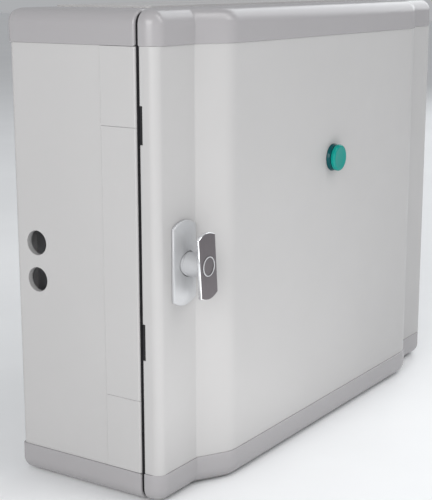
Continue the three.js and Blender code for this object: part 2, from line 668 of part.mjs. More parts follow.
function escutcheon() {
  const layers = [[0, 0], [0, 2], [1, 3], [5, 4.6], [10, 5.8], [15, 6.5]];
  const plate = archedPlate(17.6, 34, 5.5, layers, MARGIN_Y - FIT).translate(HANDLE.x, 0, HANDLE.z);
  return cut(plate, cylinderY(STEM_R + FIT, HANDLE.x, HANDLE.z, MARGIN_Y - 20, MARGIN_Y + 5, 24));
}

const handleStem = () => turned([
  [0, PADDLE_BACK + FIT], [10.4, PADDLE_BACK + FIT], [STEM_R, MARGIN_Y - 9], [STEM_R, MARGIN_Y - 2 * FIT],
  [SHAFT_R, MARGIN_Y - 2 * FIT], [SHAFT_R, FRONT + 13.5], [0, FRONT + 13.5],
], 24);

const handlePaddle = () =>
  archedPlate(13.2, 27.3, 3.7, [[0.8, 0], [0, 0.8], [0, 2.9], [0.8, 3.7]], PADDLE_BACK);

function handleRing() {
  const front = PADDLE_BACK - 3.7 - FIT - 0.8;
  return cut(cylinderY(9.2, 0, 0, front, front + 0.8, 24), cylinderY(8.1, 0, 0, front - 1, front + 2, 24));
}

const CAM = { front: FRONT + 3, thick: 3, reach: 34 };

function latchCam() {
  const { front, thick, reach } = CAM;
  const outline = rounded([
    [-9, -9, 5], [9, -9, 5], [9, 9, 3], [6.5, reach, 4], [-6.5, reach, 4], [-9, 9, 3],
  ], 3, true);
  return cut(extrudeY(outline, front, front + thick),
    cylinderY(SHAFT_R + FIT, 0, 0, front - 1, front + thick + 1));
}

function camNut() {
  const seat = CAM.front + CAM.thick + FIT;
  return cut(extrudeY(hexagon(8.6), seat, seat + 5), cylinderY(SHAFT_R + FIT, 0, 0, seat - 1, seat + 6));
}

function lockHousing() {
  const front = MARGIN_Y + DOOR_STEEL + FIT;
  const outline = rounded([[-13, -26, 5], [13, -26, 5], [13, 26, 5], [-13, 26, 5]], 3, true);
  return cut(extrudeY(outline, front, front + 11).translate(HANDLE.x, 0, HANDLE.z),
    cylinderY(SHAFT_R + FIT, HANDLE.x, HANDLE.z, front - 1, front + 12));
}

// ---------------------------------------------------------------- build the tree
put(cabinet, 'back_panel', backPanel(), PAINT());
put(cabinet, 'top_cap', topCap(), CAP_GREY());
put(cabinet, 'bottom_cap', bodyCap(CAP_BOTTOM, 0), CAP_GREY());
put(cabinet, 'top_plate', topPlate(), PAINT());
put(cabinet, 'cable_plate', cablePlate(), PAINT());
for (const [sideName, side] of [['left', -1], ['right', 1]]) {
  put(cabinet, `side_panel_${sideName}`, sidePanel(side), PAINT());
  put(cabinet, `frame_upright_${sideName}`, frameUpright(side), PAINT());
  put(cabinet, `frame_corner_top_${sideName}`, frameCorner(side, 1), PAINT());
  put(cabinet, `frame_corner_bottom_${sideName}`, frameCorner(side, -1), PAINT());
  put(cabinet, `chassis_post_${sideName}`, chassisPost(side), ZINC());
  put(cabinet, `faceplate_screw_${sideName}`, faceplateScrew(side), BLACK());
}
put(cabinet, 'frame_rail_top', frameRail(1), PAINT());
put(cabinet, 'frame_rail_bottom', frameRail(-1), PAINT());
for (const [level, z] of Object.entries(HINGE_HEIGHTS)) {
  put(cabinet, `hinge_bracket_${level}`, hingeBracket(z), ZINC());
  put(cabinet, `hinge_pin_${level}`, hingePin(z), SATIN());
  put(door, `hinge_knuckle_${level}`, hingeKnuckle(z), ZINC());
}
put(cabinet, 'din_rail', dinRail(), ZINC());
put(cabinet, 'faceplate', faceplate(), MODULE_GREY());
put(cabinet, 'breaker_body', breakerBody(), MODULE_GREY());
put(cabinet, 'breaker_toggle', breakerToggle(), BLACK());
put(cabinet, 'test_button', testButton(), finish(0xd8a21c, 0.5));
SUPPLIES.forEach(({ x0, x1 }, k) => put(cabinet, `power_supply_${k + 1}`, dinModule(x0, x1), MODULE_GREY()));
put(cabinet, 'blanking_strip', blankingStrip(), MODULE_GREY());
put(cabinet, 'terminal_block', terminalBlock(), MODULE_GREY());
put(cabinet, 'phone_shelf', phoneShelf(), PAINT());
for (let k = 1; k < BAYS; k += 1) {
  put(cabinet, `divider_${k}`, divider(-RACK.x + RACK.thick + BAY * k), PAINT());
}
put(cabinet, 'outlet_bar', outletBar(), BLACK());

put(door, 'door_panel', doorPanel(), PAINT());
put(door, 'door_cap_top', doorCap(HEIGHT - CAP_TOP, HEIGHT), CAP_GREY());
put(door, 'door_cap_bottom', doorCap(CAP_BOTTOM + DOOR_LIFT, DOOR_LIFT), CAP_GREY());
put(door, 'door_rail_top', doorRail(1), PAINT());
put(door, 'door_rail_bottom', doorRail(-1), PAINT());
put(door, 'door_seal', doorSeal(), BLACK());
put(door, 'lock_housing', lockHousing(), ZINC());
put(door, 'escutcheon', escutcheon(), SATIN());
put(door, 'pilot_bezel', pilotBezel(), finish(0x04574f, 0.3));
put(door, 'pilot_lens', pilotLens(), finish(0x0a9484, 0.15));
put(door, 'pilot_nut', pilotNut(), BLACK());
put(door, 'pilot_lamp_block', pilotLampBlock(), BLACK());
put(door, 'pilot_lead', pilotLead(), BLACK());

handle.position.set(HANDLE.x, 0, HANDLE.z);
handle.rotation.y = -THREE.MathUtils.degToRad(HANDLE.tilt);
put(handle, 'handle_stem', handleStem(), SATIN());
put(handle, 'handle_paddle', handlePaddle(), finish(0x6d6766, 0.35, 0.8));
put(handle, 'handle_ring', handleRing(), SATIN());
put(handle, 'latch_cam', latchCam(), ZINC());
put(handle, 'cam_nut', camNut(), ZINC());

export default charger;
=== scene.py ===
"""A phone charging cabinet: steel body, profiled door, quarter-turn handle and green pilot light.

Metres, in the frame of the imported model: +Z up, the door faces -Y, +X to the right of somebody facing it.
"""
import json
import math

import bmesh
import bpy
from mathutils import Matrix, Vector

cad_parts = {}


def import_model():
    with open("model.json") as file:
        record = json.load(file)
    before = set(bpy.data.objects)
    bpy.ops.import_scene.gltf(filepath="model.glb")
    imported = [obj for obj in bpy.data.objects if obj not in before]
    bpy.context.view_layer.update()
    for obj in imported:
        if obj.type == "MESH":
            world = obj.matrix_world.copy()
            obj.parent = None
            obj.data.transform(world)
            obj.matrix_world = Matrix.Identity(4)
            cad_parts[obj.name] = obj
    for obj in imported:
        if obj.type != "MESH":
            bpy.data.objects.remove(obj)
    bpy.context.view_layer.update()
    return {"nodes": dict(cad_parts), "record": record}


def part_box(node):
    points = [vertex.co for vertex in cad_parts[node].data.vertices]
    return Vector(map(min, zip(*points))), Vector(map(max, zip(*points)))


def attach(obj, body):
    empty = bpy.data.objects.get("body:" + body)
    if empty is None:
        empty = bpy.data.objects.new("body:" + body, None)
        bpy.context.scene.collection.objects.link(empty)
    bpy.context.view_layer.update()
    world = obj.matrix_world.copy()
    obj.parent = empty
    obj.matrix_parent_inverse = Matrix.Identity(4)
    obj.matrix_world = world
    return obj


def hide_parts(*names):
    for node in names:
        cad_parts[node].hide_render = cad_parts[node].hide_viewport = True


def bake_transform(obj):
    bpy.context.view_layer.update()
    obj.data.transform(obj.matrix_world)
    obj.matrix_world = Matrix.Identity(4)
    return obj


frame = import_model()

MM = 0.001

# ------------------------------------------------------------------ sizes
BODY_LOW, BODY_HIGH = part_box("bottom_cap")
TOP_LOW, TOP_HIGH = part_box("top_cap")
SHELL_LOW, SHELL_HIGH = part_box("side_panel_right")
DOOR_LOW, DOOR_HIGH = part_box("door_panel")
DOOR_CAP_LOW, DOOR_CAP_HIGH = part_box("door_cap_bottom")
DOOR_TOP_LOW, DOOR_TOP_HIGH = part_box("door_cap_top")
PLATE_LOW, PLATE_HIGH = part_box("top_plate")

FRONT = BODY_LOW.y                  # the body's front plane
BACK = BODY_HIGH.y
HALF = BODY_HIGH.x                  # half the width over the caps
STEEL_X = SHELL_HIGH.x
DOOR_REAR = DOOR_HIGH.y
FACE_Y = DOOR_LOW.y                 # the door's raised middle
MARGIN_Y = FACE_Y + 19 * MM         # the door's side margins
MARGIN_X = 228 * MM                 # where the margin meets the bevel
FACE_X = 195 * MM                   # where the bevel meets the raised middle
PROUD = HALF - STEEL_X              # how far the caps stand out past the steel
CAP_ROUND = 13 * MM
CAP_WALL = 3 * MM
DOOR_STEEL = 1.5 * MM
BODY_STEEL = 2 * MM
SEAM = 0.32 * MM                    # how far the steel runs on, into the caps
HANDLE = Vector((-248 * MM, 0, 224 * MM))
HANDLE_TILT = math.radians(4.5)
PILOT = Vector((0, 0, 292 * MM))
PILOT_HOLE = 11.3 * MM
STEM_R = 11 * MM
SPINDLE_HOLE = 5.3 * MM
PADDLE_BACK = MARGIN_Y - 24.3 * MM


# ------------------------------------------------------------------ camera
def make_camera():
    """A view from the front left, a little above, as somebody standing by the table has it."""
    azimuth, elevation, roll = (math.radians(a) for a in (-56.46, 12.6, -0.06))
    back = Vector((math.sin(azimuth) * math.cos(elevation), -math.cos(azimuth) * math.cos(elevation),
                   math.sin(elevation)))
    flat_right = Vector((0, 0, 1)).cross(back).normalized()
    flat_up = back.cross(flat_right)
    right = math.cos(roll) * flat_right + math.sin(roll) * flat_up
    up = math.cos(roll) * flat_up - math.sin(roll) * flat_right
    data = bpy.data.cameras.new("camera")
    data.lens = 87.45
    camera = bpy.data.objects.new("camera", data)
    turn = Matrix((right, up, back)).transposed().to_4x4()
    camera.matrix_world = Matrix.Translation(Vector((-1.1255, -0.7127, 0.4755))) @ turn
    bpy.context.scene.collection.objects.link(camera)
    bpy.context.scene.camera = camera


# ------------------------------------------------------------------ materials
class Recipe:
    """A node material under construction, textured in the object's own coordinates."""

    def __init__(self, name):
        self.material = bpy.data.materials.new(name)
        self.material.use_nodes = True
        self.tree = self.material.node_tree
        self.shader = self.tree.nodes["Principled BSDF"]
        self.place = self.tree.nodes.new("ShaderNodeTexCoord").outputs["Object"]

    def node(self, kind, **values):
        made = self.tree.nodes.new(kind)
        for key, value in values.items():
            setattr(made, key, value)
        return made

    def link(self, a, b):
        self.tree.links.new(a, b)

    def stretched(self, scale):
        mapping = self.node("ShaderNodeMapping")
        mapping.inputs["Scale"].default_value = scale
        self.link(self.place, mapping.inputs["Vector"])
        return mapping.outputs["Vector"]

    def noise(self, scale, detail=3.0, roughness=0.55, stretch=None):
        made = self.node("ShaderNodeTexNoise")
        made.inputs["Scale"].default_value = scale
        made.inputs["Detail"].default_value = detail
        made.inputs["Roughness"].default_value = roughness
        self.link(self.stretched(stretch) if stretch else self.place, made.inputs["Vector"])
        return made.outputs["Fac"]

    def ramp(self, fac, stops):
        made = self.node("ShaderNodeValToRGB")
        elements = made.color_ramp.elements
        elements[0].position, elements[0].color = stops[0]
        elements[1].position, elements[1].color = stops[-1]
        for position, color in stops[1:-1]:
            elements.new(position).color = color
        self.link(fac, made.inputs["Fac"])
        return made.outputs["Color"]

    def spread(self, fac, low, high, start=0.3, stop=0.7):
        made = self.node("ShaderNodeMapRange")
        for key, value in (("From Min", start), ("From Max", stop), ("To Min", low), ("To Max", high)):
            made.inputs[key].default_value = value
        self.link(fac, made.inputs["Value"])
        return made.outputs["Result"]

    def bump(self, *layers):
        """Each layer is (height, depth in metres). The layers are chained."""
        normal = None
        for height, depth in layers:
            made = self.node("ShaderNodeBump")
            made.inputs["Distance"].default_value = depth
            made.inputs["Strength"].default_value = 1.0
            self.link(height, made.inputs["Height"])
            if normal:
                self.link(normal, made.inputs["Normal"])
            normal = made.outputs["Normal"]
        self.link(normal, self.shader.inputs["Normal"])

    def colour(self, output):
        self.link(output, self.shader.inputs["Base Color"])

    def rough(self, output):
        self.link(output, self.shader.inputs["Roughness"])

    def fixed(self, **values):
        for key, value in values.items():
            self.shader.inputs[key.replace("_", " ")].default_value = value


def shade(rgb, factor):
    return (*(min(c * factor, 1.0) for c in rgb), 1.0)


def coated(name, rgb, rough, grain_scale, grain_depth, mottle=0.03, specular=0.5, wear=0.04):
    """Paint or moulded plastic: a fine surface texture, faint mottling and handling marks."""
    recipe = Recipe(name)
    clouds = recipe.noise(7.0, 4.0, 0.6)
    recipe.colour(recipe.ramp(clouds, [(0.3, shade(rgb, 1 - mottle)), (0.7, shade(rgb, 1 + mottle))]))
    marks = recipe.noise(26.0, 2.0, 0.5)
    recipe.rough(recipe.spread(marks, rough - wear, rough + wear))
    grain = recipe.noise(grain_scale, 2.0, 0.5)
    recipe.bump((grain, grain_depth))
    recipe.fixed(Specular_IOR_Level=specular)
    return recipe.material


def brushed(name, rgb, rough, stretch, mottle, metallic=1.0):
    """Bare or plated metal with fine lines along one direction and a cloudy tone."""
    recipe = Recipe(name)
    lines = recipe.noise(1.0, 4.0, 0.65, stretch)
    recipe.colour(recipe.ramp(lines, [(0.25, shade(rgb, 1 - mottle)), (0.75, shade(rgb, 1 + mottle))]))
    clouds = recipe.noise(60.0, 4.0, 0.6)
    recipe.rough(recipe.spread(clouds, rough - 0.07, rough + 0.09))
    recipe.bump((lines, 0.002 * MM))
    recipe.fixed(Metallic=metallic)
    return recipe.material


def plated(name, rgb):
    """Zinc plate, with the crystal spangle that it shows close up."""
    recipe = Recipe(name)
    cells = recipe.node("ShaderNodeTexVoronoi")
    cells.inputs["Scale"].default_value = 160.0
    recipe.link(recipe.place, cells.inputs["Vector"])
    tone = recipe.noise(14.0, 5.0, 0.6)
    recipe.colour(recipe.ramp(tone, [(0.3, shade(rgb, 0.86)), (0.7, shade(rgb, 1.08))]))
    recipe.rough(recipe.spread(cells.outputs["Distance"], 0.28, 0.46, 0.0, 1.0))
    recipe.bump((cells.outputs["Distance"], 0.01 * MM), (recipe.noise(900.0), 0.008 * MM))
    recipe.fixed(Metallic=1.0)
    return recipe.material


def lens_plastic(name, rgb, deep):
    """Clear coloured plastic over a ribbed diffuser, its colour painted shading: lighter where the surface
    faces the viewer, deeper towards its outline.
    """
    recipe = Recipe(name)
    # painted shading: the base colour runs from rgb face-on to deep at grazing views
    facing = recipe.node("ShaderNodeLayerWeight")
    facing.inputs["Blend"].default_value = 0.35
    painted_view_shade = recipe.node("ShaderNodeMix", data_type="RGBA")
    factor, first, second, result = painted_view_shade.inputs[0], painted_view_shade.inputs[6], painted_view_shade.inputs[7], painted_view_shade.outputs[2]
    first.default_value = (*rgb, 1)
    second.default_value = (*deep, 1)
    recipe.link(facing.outputs["Facing"], factor)
    recipe.colour(result)
    recipe.rough(recipe.spread(recipe.noise(400.0), 0.1, 0.2))
    recipe.bump((recipe.noise(150.0, 2.0), 0.02 * MM))
    recipe.fixed(Coat_Weight=0.1, Coat_Roughness=0.1, Specular_IOR_Level=0.15)
    return recipe.material


def rubbery(name, rgb, rough=0.75):
    recipe = Recipe(name)
    recipe.colour(recipe.ramp(recipe.noise(120.0, 4.0), [(0.3, shade(rgb, 0.8)), (0.7, shade(rgb, 1.35))]))
    recipe.rough(recipe.spread(recipe.noise(500.0), rough - 0.1, rough + 0.1))
    recipe.bump((recipe.noise(1600.0, 3.0, 0.7), 0.03 * MM))
    recipe.fixed(Specular_IOR_Level=0.15)
    return recipe.material


def floor_material():
    recipe = Recipe("table_top")
    tone = recipe.noise(3.0, 5.0)
    recipe.colour(recipe.ramp(tone, [(0.3, (0.86, 0.865, 0.87, 1)), (0.7, (0.9, 0.905, 0.91, 1))]))
    recipe.rough(recipe.spread(recipe.noise(40.0), 0.45, 0.6))
    recipe.bump((recipe.noise(600.0), 0.02 * MM))
    return recipe.material


PAINT_RGB = (0.425, 0.418, 0.415)
FINISHES = {
    "panel_paint": coated("powder_coat", PAINT_RGB, 0.42, 1500.0, 0.03 * MM, 0.015),
    "cap_plastic": coated("grey_moulding", (0.32, 0.31, 0.316), 0.26, 2200.0, 0.004 * MM, 0.012, wear=0.006),
    "zinc_steel": plated("zinc_plate", (0.62, 0.63, 0.65)),
    "satin_chrome": brushed("satin_chrome", (0.46, 0.465, 0.475), 0.45, (900, 900, 60), mottle=0.03,
                            metallic=0.35),
    "paddle_metal": brushed("dark_satin_face", (0.135, 0.122, 0.129), 0.45, (1100, 1100, 90), mottle=0.05,
                            metallic=0.6),
    "black_plastic": coated("black_moulding", (0.012, 0.012, 0.013), 0.45, 1800.0, 0.02 * MM, 0.2, 0.25),
    "module_plastic": coated("module_moulding", (0.63, 0.635, 0.64), 0.4, 2000.0, 0.02 * MM, 0.02),
    "test_button_plastic": coated("yellow_moulding", (0.75, 0.42, 0.03), 0.3, 1500.0, 0.02 * MM, 0.05),
    "seal_rubber": rubbery("foam_rubber", (0.006, 0.0058, 0.007)),
    # lens and bezel colours carry painted shading, lighter face-on and deeper towards the outline
    "pilot_lens_plastic": lens_plastic("pilot_lens_clear", (0.0, 0.255, 0.215), (0.0, 0.15, 0.14)),
    "pilot_bezel_plastic": lens_plastic("pilot_bezel_dark", (0.0, 0.062, 0.07), (0.0, 0.028, 0.034)),
    "lead_sheath": rubbery("lead_sheath", (0.03, 0.03, 0.032), 0.55),
}
POLISHED_EDGE = brushed("polished_edge", (0.82, 0.83, 0.84), 0.16, (700, 700, 700), mottle=0.04)
SLOT_OF = {entry["node"]: entry["material_slot"] for entry in frame["record"]["subparts"]}
BODY_OF = {node: body for body, nodes in frame["record"]["behaviour"]["bodies"].items() for node in nodes}


# ------------------------------------------------------------------ outlines
def rounded(corners, steps, closed=True):
    """Points of a path of (x, y, radius) corners, each corner rounded with the given number of chords."""
    points = []
    count = len(corners)
    for i, (x, y, radius) in enumerate(corners):
        corner = Vector((x, y))
        if radius <= 0 or (not closed and i in (0, count - 1)):
            points.append(corner)
            continue
        before = (Vector(corners[i - 1][:2]) - corner).normalized()
        after = (Vector(corners[(i + 1) % count][:2]) - corner).normalized()
        half = before.angle(after) / 2
        reach = radius / math.tan(half)
        centre = corner + (before + after).normalized() * (radius / math.sin(half))
        start = corner + before * reach - centre
        sweep = start.angle_signed(corner + after * reach - centre)
        for k in range(steps + 1):
            angle = -sweep * k / steps
            points.append(centre + Matrix.Rotation(angle, 2) @ start)
    return points


def rectangle(x0, y0, x1, y1, radius=0.0):
    """The corners of a rectangle, for rounded()."""
    return [(x0, y0, radius), (x1, y0, radius), (x1, y1, radius), (x0, y1, radius)]


def shrunk(corners, inset):
    """A closed counter-clockwise corner list moved inwards, with its radii to match."""
    moved = []
    count = len(corners)
    for i, (x, y, radius) in enumerate(corners):
        into = (Vector((x, y)) - Vector(corners[i - 1][:2])).normalized()
        out = (Vector(corners[(i + 1) % count][:2]) - Vector((x, y))).normalized()
        normal_in, normal_out = Vector((-into.y, into.x)), Vector((-out.y, out.x))
        move = (normal_in + normal_out) * (inset / (1 + normal_in.dot(normal_out)))
        convex = into.cross(out) > 0
        new_radius = radius - inset if convex else radius + inset
        moved.append((x + move.x, y + move.y, max(new_radius, 0.4 * MM)))
    return moved


def across(half):
    """A full plan from its right half, from the left rear edge round to the right rear edge."""
    return [(-x, y, r) for x, y, r in half] + half[::-1]


# ------------------------------------------------------------------ meshes
def new_piece(name, mesh):
    piece = bpy.data.objects.new(name, mesh)
    bpy.context.scene.collection.objects.link(piece)
    return piece


def from_bmesh(name, bm):
    bmesh.ops.recalc_face_normals(bm, faces=bm.faces)
    mesh = bpy.data.meshes.new(name)
    bm.to_mesh(mesh)
    bm.free()
    return new_piece(name, mesh)


def loft(name, rings):
    """A closed solid through rings of 3-D points, each ring with as many points as the next."""
    bm = bmesh.new()
    rows = [[bm.verts.new(p) for p in ring] for ring in rings]
    for low, high in zip(rows, rows[1:]):
        for i in range(len(low)):
            j = (i + 1) % len(low)
            bm.faces.new((low[i], low[j], high[j], high[i]))
    bm.faces.new(rows[0])
    bm.faces.new(rows[-1])
    return from_bmesh(name, bm)


def prism(name, outline, low, high, axis="Z"):
    """An outline extruded along an axis. For X it is in (y, z), for Y in (x, z) and for Z in (x, y)."""
    place = {
        "X": lambda a, b, h: Vector((h, a, b)),
        "Y": lambda a, b, h: Vector((a, h, b)),
        "Z": lambda a, b, h: Vector((a, b, h)),
    }[axis]
    return loft(name, [[place(p[0], p[1], h) for p in outline] for h in (low, high)])


def block(name, low, high):
    corners = [(low[0], low[1]), (high[0], low[1]), (high[0], high[1]), (low[0], high[1])]
    return prism(name, corners, low[2], high[2])


def disc_outline(radius, x=0.0, y=0.0, sides=64):
    return [(x + radius * math.cos(2 * math.pi * k / sides), y + radius * math.sin(2 * math.pi * k / sides))
            for k in range(sides)]


def turned(name, profile, centre, sides=72, closed=False):
    """A piece turned about a line along Y through the centre. The profile is (radius, y)."""
    bm = bmesh.new()
    columns = []
    for k in range(sides):
        angle = 2 * math.pi * k / sides
        x, z = math.cos(angle), math.sin(angle)
        columns.append([bm.verts.new((centre.x + r * x, y, centre.z + r * z)) if r > 0 else None
                        for r, y in profile])
    poles = {i: bm.verts.new((centre.x, y, centre.z)) for i, (r, y) in enumerate(profile) if r <= 0}
    steps = len(profile) if closed else len(profile) - 1
    for k in range(sides):
        a, b = columns[k], columns[(k + 1) % sides]
        for i in range(steps):
            j = (i + 1) % len(profile)
            ring = [poles.get(i) or a[i], poles.get(j) or a[j], poles.get(j) or b[j], poles.get(i) or b[i]]
            corners = list(dict.fromkeys(ring))
            if len(corners) > 2:
                bm.faces.new(corners)
    return from_bmesh(name, bm)


def applied(piece):
    """Turns a piece's modifiers into its mesh."""
    graph = bpy.context.evaluated_depsgraph_get()
    mesh = bpy.data.meshes.new_from_object(piece.evaluated_get(graph))
    old = piece.data
    piece.modifiers.clear()
    piece.data = mesh
    bpy.data.meshes.remove(old)
    return piece


def combine(piece, tools, operation):
    for tool in tools:
        boolean = piece.modifiers.new("combine", "BOOLEAN")
        boolean.operation = operation
        boolean.solver = "EXACT"
        boolean.object = tool
        applied(piece)
        bpy.data.objects.remove(tool)
    return piece


def carve(piece, *tools):
    return combine(piece, tools, "DIFFERENCE")


def weld(piece, *others):
    return combine(piece, others, "UNION")


def merged(name, pieces):
    """Several separate solids as one mesh."""
    bm = bmesh.new()
    for piece in pieces:
        bm.from_mesh(piece.data)
        bpy.data.objects.remove(piece)
    return from_bmesh(name, bm)


def soften(piece, width, segments=3, angle=30):
    """Rounds the sharp edges and evens out the shading of the flats between them."""
    for polygon in piece.data.polygons:
        polygon.use_smooth = True
    bevel = piece.modifiers.new("edges", "BEVEL")
    bevel.width = width
    bevel.segments = segments
    bevel.limit_method = "ANGLE"
    bevel.angle_limit = math.radians(angle)
    bevel.miter_outer = "MITER_ARC"
    weighted = piece.modifiers.new("shading", "WEIGHTED_NORMAL")
    weighted.keep_sharp = True
    return piece


def fit(piece, node, *more_nodes, material=None):
    """The piece stands for CAD nodes: it takes their body and their finish."""
    if not piece.data.materials:
        piece.data.materials.append(material or FINISHES[SLOT_OF[node]])
    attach(piece, BODY_OF[node])
    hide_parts(node, *more_nodes)
    return piece


def detail(piece, body, slot):
    """An extra visible piece that no CAD node stands for."""
    piece.data.materials.append(FINISHES[slot])
    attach(piece, body)
    return piece


def refined_shape(node):
    """A CAD node's own shape, with its flats made whole."""
    bm = bmesh.new()
    bm.from_mesh(frame["nodes"][node].data)
    bmesh.ops.remove_doubles(bm, verts=bm.verts, dist=0.01 * MM)
    bmesh.ops.dissolve_limit(bm, angle_limit=math.radians(1), verts=bm.verts, edges=bm.edges)
    return from_bmesh(f"{node}.shape", bm)


def refined(node, width=0.5 * MM, segments=3):
    """A CAD node's own shape with its edges rounded."""
    return fit(soften(refined_shape(node), width, segments), node)


def strip(path, thickness):
    """The closed outline of a sheet: a path, and the same path moved to its left."""
    moved = []
    for i, point in enumerate(path):
        into = (point - path[i - 1] if i else path[1] - point).normalized()
        out = (path[i + 1] - point if i + 1 < len(path) else point - path[i - 1]).normalized()
        normal_in, normal_out = Vector((-into.y, into.x)), Vector((-out.y, out.x))
        moved.append(point + (normal_in + normal_out) * (thickness / (1 + normal_in.dot(normal_out))))
    return path + moved[::-1]


def slab(name, plan, flat_z, end_z, radius, steps=10, chords=10):
    """A slab over a plan outline, rounded over at its far end."""
    up = 1 if end_z > flat_z else -1
    levels = [(0.0, flat_z)]
    for k in range(steps + 1):
        angle = math.pi / 2 * k / steps
        levels.append((radius * (1 - math.cos(angle)), end_z - up * radius * (1 - math.sin(angle))))
    return loft(name, [[Vector((*point, z)) for point in rounded(shrunk(plan, inset), chords)]
                       for inset, z in levels])


def arched(half_wide, side, rise, inset, steps=28):
    """An upright outline with straight sides and arched ends, shrunk by an inset."""
    reach = half_wide - inset
    arch = []
    for k in range(steps + 1):
        x = reach * (2 * k / steps - 1)
        arch.append(Vector((x, side - inset + rise * (1 - (x / reach) ** 2))))
    return [Vector((p.x, -p.y)) for p in arch] + arch[::-1]


def arched_plate(name, half_wide, side, rise, layers, back_y):
    """Arched outlines stacked towards the viewer; each layer is (inset, height)."""
    return loft(name, [[Vector((p.x + HANDLE.x, back_y - height, p.y + HANDLE.z))
                        for p in arched(half_wide, side, rise, inset)] for inset, height in layers])


def mm(*rows):
    """Rows of millimetres as rows of metres."""
    return [tuple(value * MM for value in row) for row in rows]


def hole(radius, x, z, y0, y1, sides=72):
    return prism("hole", disc_outline(radius, x, z, sides), y0, y1, "Y")


def cleaned(piece):
    """Flats that a boolean split are made whole again."""
    bm = bmesh.new()
    bm.from_mesh(piece.data)
    bmesh.ops.remove_doubles(bm, verts=bm.verts, dist=0.001 * MM)
    bmesh.ops.dissolve_limit(bm, angle_limit=math.radians(0.4), verts=bm.verts, edges=bm.edges)
    bm.to_mesh(piece.data)
    bm.free()
    return piece


def rounded_rim(piece, y, width, segments=6):
    """Rounds the edges that lie in a plane of constant y."""
    bm = bmesh.new()
    bm.from_mesh(piece.data)
    rim = [e for e in bm.edges
           if all(abs(v.co.y - y) < 0.01 * MM for v in e.verts) and e.calc_face_angle(0) > math.radians(40)]
    bmesh.ops.bevel(bm, geom=rim, offset=width, segments=segments, profile=0.5, affect="EDGES",
                    clamp_overlap=True)
    bm.to_mesh(piece.data)
    bm.free()
    return piece


def turned_to(piece, direction, place):
    """Takes a piece made at the origin facing -Y to a place, facing a direction."""
    turn = Vector((0, -1, 0)).rotation_difference(Vector(direction)).to_matrix().to_4x4()
    piece.data.transform(Matrix.Translation(Vector(place)) @ turn)
    return piece


def screw(name, radius):
    """A low pan head with a cross recess, at the origin, facing -Y."""
    rim = 0.28 * radius
    profile = [(0, 0), (radius, 0), (radius, -rim)]
    for k in range(1, 9):
        angle = math.pi / 2 * k / 8
        profile.append((radius * math.cos(angle) * 0.999, -rim - 0.3 * radius * math.sin(angle)))
    profile[-1] = (0, profile[-1][1])
    head = turned(name, profile, Vector((0, 0, 0)), 40)
    arm, wide = 0.55 * radius, 0.13 * radius
    deep = -rim - 0.05 * radius
    return carve(head, block("slot", (-arm, -radius, -wide), (arm, deep, wide)),
                 block("slot", (-wide, -radius, -arm), (wide, deep, arm)))


# ------------------------------------------------------------------ body: shell, frame and caps
CABLE_HOLES = (197 * MM, 232.5 * MM)
CABLE_Y = 46.5 * MM
FRAME_X = STEEL_X + 0.7 * MM
OPENING_X = FRAME_X - 24 * MM


def body_shell():
    """One sheet bent round the sides and the back, with a collar pressed in behind each cable hole."""
    front, back = SHELL_LOW.y, SHELL_HIGH.y
    path = rounded([(STEEL_X, front, 0), (STEEL_X, back, 5 * MM), (-STEEL_X, back, 5 * MM),
                    (-STEEL_X, front, 0)], 10, closed=False)
    piece = prism("body_shell", strip(path, BODY_STEEL), SHELL_LOW.z - SEAM, SHELL_HIGH.z + SEAM)
    for z in CABLE_HOLES:
        collar = prism("collar", disc_outline(13.4 * MM, CABLE_Y, z, 72),
                       -STEEL_X + 1 * MM, -STEEL_X + 6 * MM, "X")
        weld(piece, collar)
        carve(piece, prism("hole", disc_outline(11.75 * MM, CABLE_Y, z, 72),
                           -STEEL_X - 5 * MM, -STEEL_X + 9 * MM, "X"))
    soften(cleaned(piece), 0.35 * MM, 2)
    return fit(piece, "side_panel_left", "side_panel_right", "cable_plate", "back_panel")


def frame_plan(side):
    inner = STEEL_X - BODY_STEEL
    plan = [
        (FRAME_X, FRONT, 2.2 * MM), (FRAME_X, FRONT + 39 * MM, 0.5 * MM),
        (inner - 0.3 * MM, FRONT + 39 * MM, 0), (inner - 0.3 * MM, FRONT + 47 * MM, 0),
        (inner - 2.3 * MM, FRONT + 47 * MM, 0), (inner - 2.3 * MM, FRONT + 30 * MM, 0),
        (FRAME_X - 2.7 * MM, FRONT + 30 * MM, 0), (FRAME_X - 2.7 * MM, FRONT + 2.5 * MM, 0.4 * MM),
        (OPENING_X, FRONT + 2.5 * MM, 0), (OPENING_X, FRONT, 0),
    ]
    return rounded([(side * x, y, radius) for x, y, radius in plan], 8)


def frame_upright(node, side):
    low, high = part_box(node)
    piece = prism(f"{node}.bend", frame_plan(side), low.z - 0.1 * MM, high.z + 0.1 * MM)
    return fit(soften(piece, 0.15 * MM, 2), node)


def frame_corner(node, side, up):
    """A corner of the frame: the bent side strip and an L across the front."""
    low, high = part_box(node)
    outer, far = (high.z, low.z) if up else (low.z, high.z)
    edge = outer - (24 if up else -24) * MM
    tip = FRAME_X - 47 * MM
    face = [(tip, outer, 0), (tip, edge, 1 * MM), (OPENING_X, edge, 8 * MM), (OPENING_X, far, 0),
            (FRAME_X - 4 * MM, far, 0), (FRAME_X - 4 * MM, outer, 0)]
    outline = rounded([(side * x, z, radius) for x, z, radius in face], 12)
    piece = prism(f"{node}.bend", frame_plan(side), low.z, high.z)
    weld(piece, prism("face", outline, FRONT, FRONT + 2.5 * MM, "Y"))
    return fit(soften(cleaned(piece), 0.3 * MM, 2), node)


